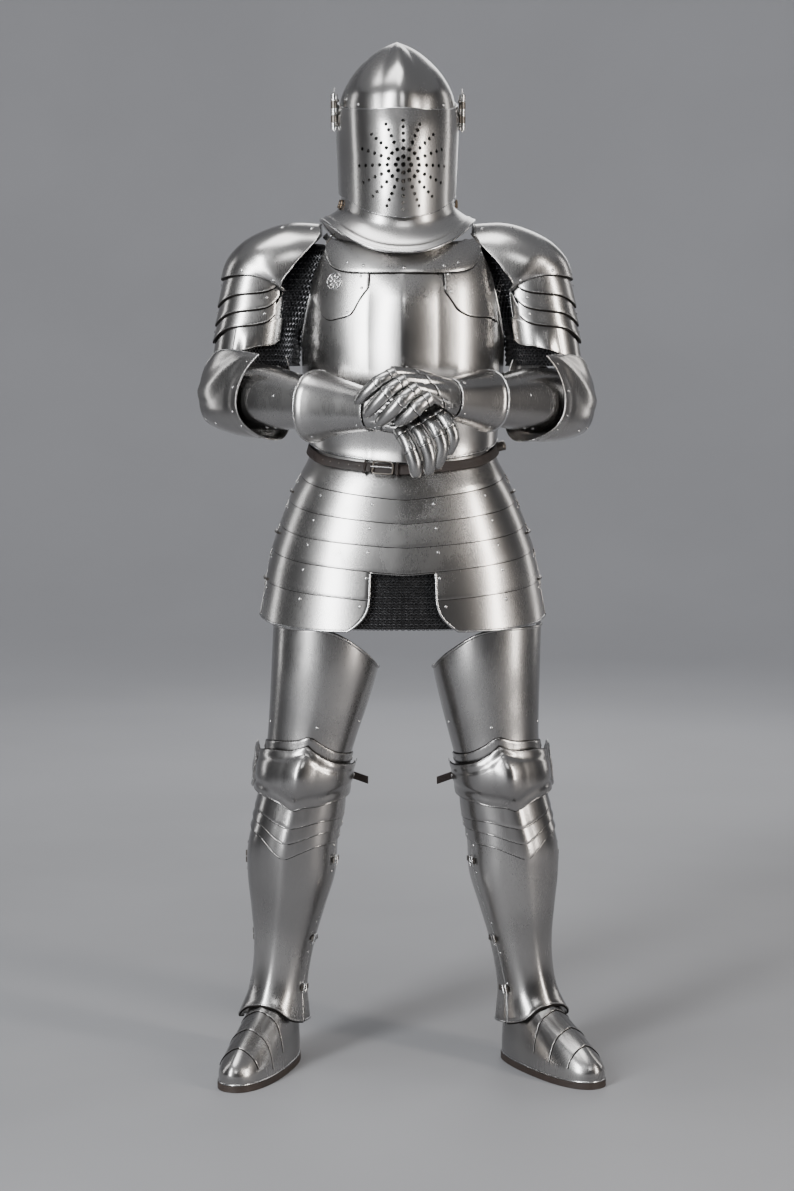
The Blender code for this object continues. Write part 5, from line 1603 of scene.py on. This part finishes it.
def make_knee_lames(side_name, side):
    leg = leg_form(swayed(side), side_name, side)
    upper = Work(f"poleyn_upper_lame_{side_name}", looks=LIMB_LOOKS)

    def point(angle, at):
        return 0.0016 * ramp(np.abs(angle), 12)

    upper.plate(leg, 110, 14, (-96, 96), upper_lame_top, upper_lame_bottom, COVER, relief=point)
    angles = np.linspace(-96, 96, 100)
    upper.bar(leg, angles, upper_lame_top(angles), COVER + TURNED_EDGE + point(angles, 0), 0.0009, PLAIN)
    # a black rod above the lame's top: painted shade under the cuisse's lower edge
    upper.bar(leg, angles, upper_lame_top(angles) + 0.0011, PLATE + 0.0006, 0.0011, PAINTED_SHADE)
    upper.rivets(leg, [(-88, 0.552), (88, 0.572)], COVER + PLATE, 0.0034)
    upper.done()
    lower = Work(f"poleyn_lower_lame_{side_name}", looks=LIMB_LOOKS)
    for index in (1, 2, 3):
        top = lambda angle: KNEE_LINES[index - 1](angle) + (0.008 if index > 1 else 0.0)
        lift = COVER - 0.0016 * (index == 3)
        lower.plate(leg, 110, 12, (-96, 96), top, KNEE_LINES[index], (lift - 0.0010, lift + 0.0012), relief=point)
        lower.lip(leg, angles, KNEE_LINES[index], lift + 0.0012 + TURNED_EDGE + point(angles, 0), 0.0008, 0.0009)
        lower.rivets(leg, [(end, KNEE_LINES[index](end) + 0.006) for end in (-90, 90)], lift + 0.002, 0.0030)
    lower.done()


def make_knee_cop(side_name, side):
    """A domed cop with an upright ridge, and a creased fan standing off its outer side."""
    work = Work(f"poleyn_{side_name}", looks=LIMB_LOOKS)
    form = leg_form(KNEE, side_name, side)

    def dome(angle, at):
        ridge = 0.0036 * ramp(np.abs(angle), 16) * bell(at - 0.535, 0.075)
        low_waist = 0.0016 * bell(at - cop_bottom(angle) - 0.016, 0.010)
        high_waist = 0.0012 * bell(cop_top(angle) - at - 0.012, 0.008)
        return ridge - low_waist - high_waist

    work.plate(form, 130, 60, (-100, 100), cop_top, cop_bottom, COP_OUT, relief=dome)
    angles = np.linspace(-100, 100, 110)
    for line, way in ((cop_top, 1), (cop_bottom, -1)):
        out = COP_OUT + TURNED_EDGE + dome(angles, line(angles))
        work.bar(form, angles, line(angles), out, 0.0011, PLAIN)
        # a black rod beside each edge: painted shade where the cop overlaps the lames
        work.bar(form, angles, line(angles) + way * 0.0014, out - 0.0016, 0.0013, PAINTED_SHADE)
    work.rivets(form, [(-92, 0.520), (-92, 0.548), (92, 0.520), (92, 0.548)], COP_OUT + PLATE, 0.0034)

    def fan(angle, at):
        turn = (angle - 78) / 34
        spread = bell(turn - 0.75, 0.8)
        creases = 0.0016 * np.cos((at - 0.534) * 210) * np.clip(turn, 0, 1)
        return 0.0030 + spread * 0.006 + creases

    fan_top = free_edge((78, 0.553), (92, 0.570), (104, 0.574), (112, 0.562))
    fan_bottom = free_edge((78, 0.516), (92, 0.500), (104, 0.494), (112, 0.506))
    work.plate(form, 26, 40, (78, 112), fan_top, fan_bottom, COP_OUT, relief=fan)
    around = np.linspace(78, 112, 26)
    outline = [(a, fan_top(a)) for a in around] + [(112, h) for h in np.linspace(0.562, 0.506, 16)[1:]]
    outline += [(a, fan_bottom(a)) for a in around[::-1][1:]]
    rim_angles, rim_heights = np.array(outline, float).T
    work.bar(form, rim_angles, rim_heights, COP_OUT + TURNED_EDGE + fan(rim_angles, rim_heights), 0.0012)
    work.done()


def make_greaves(side_name, side):
    leg = leg_form(swayed(side), side_name, side)
    front = Work(f"greave_front_{side_name}", looks=LIMB_LOOKS)

    def shin(angle, at):
        return 0.0022 * ramp(np.abs(angle), 22) * bell(at - 0.30, 0.20)

    front.plate(leg, 90, 70, (-84, 84), 0.456, greave_front_bottom, relief=shin)
    angles = np.linspace(-84, 84, 90)
    front.bar(leg, angles, greave_front_bottom(angles), TURNED_EDGE, 0.0018, PLAIN)
    # a black rod under the lower edge: painted shade beneath the greave
    front.bar(leg, angles, greave_front_bottom(angles) - 0.0022, -0.0004, 0.0018, PAINTED_SHADE)
    for end in (-84, 84):
        heights = np.linspace(0.455, float(greave_front_bottom(end)), 60)
        front.bar(leg, end, heights, PLATE * 0.5, 0.0012)
        front.rivets(leg, [(end * 0.93, high) for high in (0.40, 0.352, 0.26, 0.205, 0.15)], PLATE, 0.0028)
    front.done()
    back = Work(f"greave_back_{side_name}", looks=LIMB_LOOKS)
    back.plate(leg, 90, 60, (86, 274), greave_back_top, greave_back_bottom)
    angles = np.linspace(86, 274, 90)
    back.bar(leg, angles, greave_back_bottom(angles), TURNED_EDGE, 0.0022)
    back.bar(leg, angles, greave_back_top(angles), TURNED_EDGE, 0.0018)
    for high in (0.372, 0.230, 0.140):
        for share in (-0.5, 0.5):
            add_hinge(back, leg, 85.0, high + share * 0.012)
        add_buckle(back, leg, -85.0, high)
    back.done()


def add_hinge(work, form, angle, at):
    """A knuckle of a hinge, upright over the seam."""
    work.bar(form, angle, np.linspace(at - 0.005, at + 0.005, 3), 0.0030, 0.0023, FITTING)


def add_buckle(work, form, angle, at):
    """A short strap over the seam, with its small square frame."""
    strap = form.points(np.linspace(angle - 11, angle + 9, 10), np.full(10, at), 0.0042)
    for high in (-0.003, 0.0, 0.003):
        work.rod(strap + np.array([0, 0, high]), 0.0019, FITTING)
    corners = [(angle + 1, at - 0.0085), (angle + 1, at + 0.0085), (angle + 7, at + 0.0085), (angle + 7, at - 0.0085)]
    angles, heights = np.array(corners).T
    work.bar(form, angles, heights, 0.0066, 0.0014, RIM, closed=True)


# distances of the sabaton's lame edges ahead of the ankle's middle
SABATON_LINES = (0.072, 0.116, 0.158)


def make_sabaton(side_name, side):
    """A long shoe ridged down the middle, with the edges of its lames and toe cap drawn across it as bars."""
    work = Work(f"sabaton_{side_name}", looks=LIMB_LOOKS)
    form = leg_form(FOOT, side_name, side)
    turn = math.radians(FOOT_TURN[side_name])
    ahead_way = np.array([side * math.sin(turn), -math.cos(turn), 0])

    def ridge(angle, at):
        return 0.0026 * ramp(np.abs(angle), 20) * np.clip((at - 0.02) / 0.02, 0, 1)

    work.plate(form, 160, 70, (-180, 180), 0.118, 0.0115, relief=ridge)
    around = np.linspace(-180, 180, 120, endpoint=False)
    work.bar(form, around, 0.0122, TURNED_EDGE, 0.0020, closed=True)
    work.bar(form, around, 0.1174, TURNED_EDGE, 0.0016, closed=True)
    angles, heights = np.meshgrid(np.linspace(-110, 110, 111), np.linspace(0.0135, 0.117, 80), indexing="ij")
    reaches = form.points(angles, heights, PLATE * 0.9) @ ahead_way - form.middle(np.array([0.118]))[0] @ ahead_way
    for far in SABATON_LINES:
        met = (reaches.min(axis=1) <= far) & (far <= reaches.max(axis=1))
        at = np.array([np.interp(-far, -row, heights[0]) for row in reaches[met]])
        lame = form.points(angles[met, 0], at, PLATE * 0.9 + ridge(angles[met, 0], at))
        work.rod(lame, 0.0012, PLAIN)
        # a black rod just ahead of the edge: painted shade where the lame steps down
        work.rod(lame + ahead_way * 0.0018 - np.array([0, 0, 0.0004]), 0.0010, PAINTED_SHADE)
    work.done()


def make_sole(side_name, side):
    work = Work(f"sole_{side_name}", looks=(SOLE_LEATHER, SOLE_LEATHER, SOLE_LEATHER))
    form = leg_form(FOOT, side_name, side)
    around = np.linspace(-180, 180, 120, endpoint=False)
    outline = form.points(around, 0.0120, 0.0036)
    sole = bmesh.new()
    sole.faces.new([sole.verts.new((place[0], place[1], -NECK_HEIGHT)) for place in outline])
    work.take(slab_mesh("sole", sole, (0, 0, SOLE_TOP)))
    work.done()


def make_knee_strap(side_name, side):
    work = Work(f"knee_strap_{side_name}", looks=STRAP_LOOKS)
    leg = leg_form(swayed(side), side_name, side)
    work.plate(leg, 80, 6, (104, 256), 0.532, 0.510, wall=0.003, soft_edge=0.0008)
    corners = [(128, 0.535), (128, 0.507), (134, 0.507), (134, 0.535)]
    angles, heights = np.array(corners).T
    work.bar(leg, angles, heights, 0.0052, 0.0017, RIM, closed=True)
    work.bar(leg, np.linspace(128, 136, 5), 0.521, 0.0062, 0.0012, RIM)
    start = Vector(leg.points(256.0, 0.522))
    end = start + Vector((-side * 0.040, -0.012, -0.012))
    for high in (-0.0052, -0.0026, 0.0, 0.0026, 0.0052):
        work.rod([start + Vector((0, 0, high)), end + Vector((0, 0, high))], 0.0016, PLAIN)
    work.done()


def make_legs():
    for side_name, side in SIDES.items():
        make_cuisse(side_name, side)
        make_knee_lames(side_name, side)
        make_knee_cop(side_name, side)
        make_greaves(side_name, side)
        make_knee_strap(side_name, side)
        make_sabaton(side_name, side)
        make_sole(side_name, side)


# ---------------------------------------------------------------- mail

RING_RADIUS = 0.0034
RING_WIRE = 0.00078
RING_PITCH = 0.0056
ROW_PITCH = 0.0046


def ring_mesh():
    """One link: a ring bent from round wire."""
    ring = bmesh.new()
    bmesh.ops.create_circle(ring, segments=3, radius=RING_WIRE)
    bmesh.ops.rotate(ring, verts=ring.verts, matrix=Matrix.Rotation(math.pi / 2, 3, "X"))
    bmesh.ops.translate(ring, verts=ring.verts, vec=(RING_RADIUS, 0, 0))
    section = ring.verts[:] + ring.edges[:]
    bmesh.ops.spin(ring, geom=section, axis=(0, 0, 1), cent=(0, 0, 0), angle=math.tau, steps=6, use_merge=True)
    bmesh.ops.recalc_face_normals(ring, faces=ring.faces)
    return mesh_of("ring", ring)


def add_rings(work, form, sides, top, bottom, folds, around):
    """Rows of rings, each row leaning against the next, over a form with its folds."""
    ring = ring_mesh()
    rows = round((top - bottom) / ROW_PITCH)
    count = round(around * (sides[1] - sides[0]) / 360 / RING_PITCH)
    step = (sides[1] - sides[0]) / count
    for row in range(rows):
        at = np.full(count, top - (row + 0.5) * ROW_PITCH)
        angle = sides[0] + (np.arange(count) + 0.5 * (row % 2)) * step
        places = form.points(angle, at, MAIL + 0.0002 + folds(angle, at))
        ways = form.normals(angle, at)
        lean = math.radians(32 if row % 2 else -32)
        for place, way in zip(places, ways):
            work.take(ring, PLAIN, standing(place, way) @ Matrix.Rotation(lean, 4, "X"))
    bpy.data.meshes.remove(ring)


def make_mail_sleeve(side_name, side):
    work = Work(f"mail_sleeve_{side_name}", looks=(MAIL_GROUND,))
    rings = Work(f"mail_sleeve_{side_name}_rings", looks=(RING_STEEL,), node=False)
    form = LevelForm(MAIL_SLEEVE, side)
    top, bottom = MAIL_SLEEVE[0].height, MAIL_SLEEVE[-1].height - 0.022

    def folds(angle, at):
        slack = bell(at - 1.34, 0.12)
        return 0.0022 * np.cos(np.radians(angle * 7 + 40 * np.sin(at * 30))) * slack

    work.plate(form, 90, 60, (-180, 180), top, bottom, wall=0.0012, relief=folds)
    add_rings(rings, form, (-180, 180), top, bottom, folds, 0.345)
    work.done()
    rings.done()


def make_mail_skirt():
    work = Work("mail_skirt", looks=(MAIL_GROUND,))
    rings = Work("mail_skirt_rings", looks=(RING_STEEL,), node=False)
    form = LevelForm(MAIL_SKIRT)
    top, bottom = MAIL_SKIRT[0].height, MAIL_SKIRT[-1].height

    def folds(angle, at):
        return 0.0020 * np.cos(np.radians(angle * 15 + 30 * np.sin(at * 40)))

    work.plate(form, 180, 24, (-180, 180), top, bottom, wall=0.0012, relief=folds)
    add_rings(rings, form, (-28, 28), 0.900, bottom, folds, 1.28)
    work.done()
    rings.done()


def make_mail():
    make_mail_skirt()
    for side_name, side in SIDES.items():
        make_mail_sleeve(side_name, side)


make_camera()
make_lights()
make_floor()
make_head()
make_body()
make_arms()
make_hands()
make_legs()
make_mail()
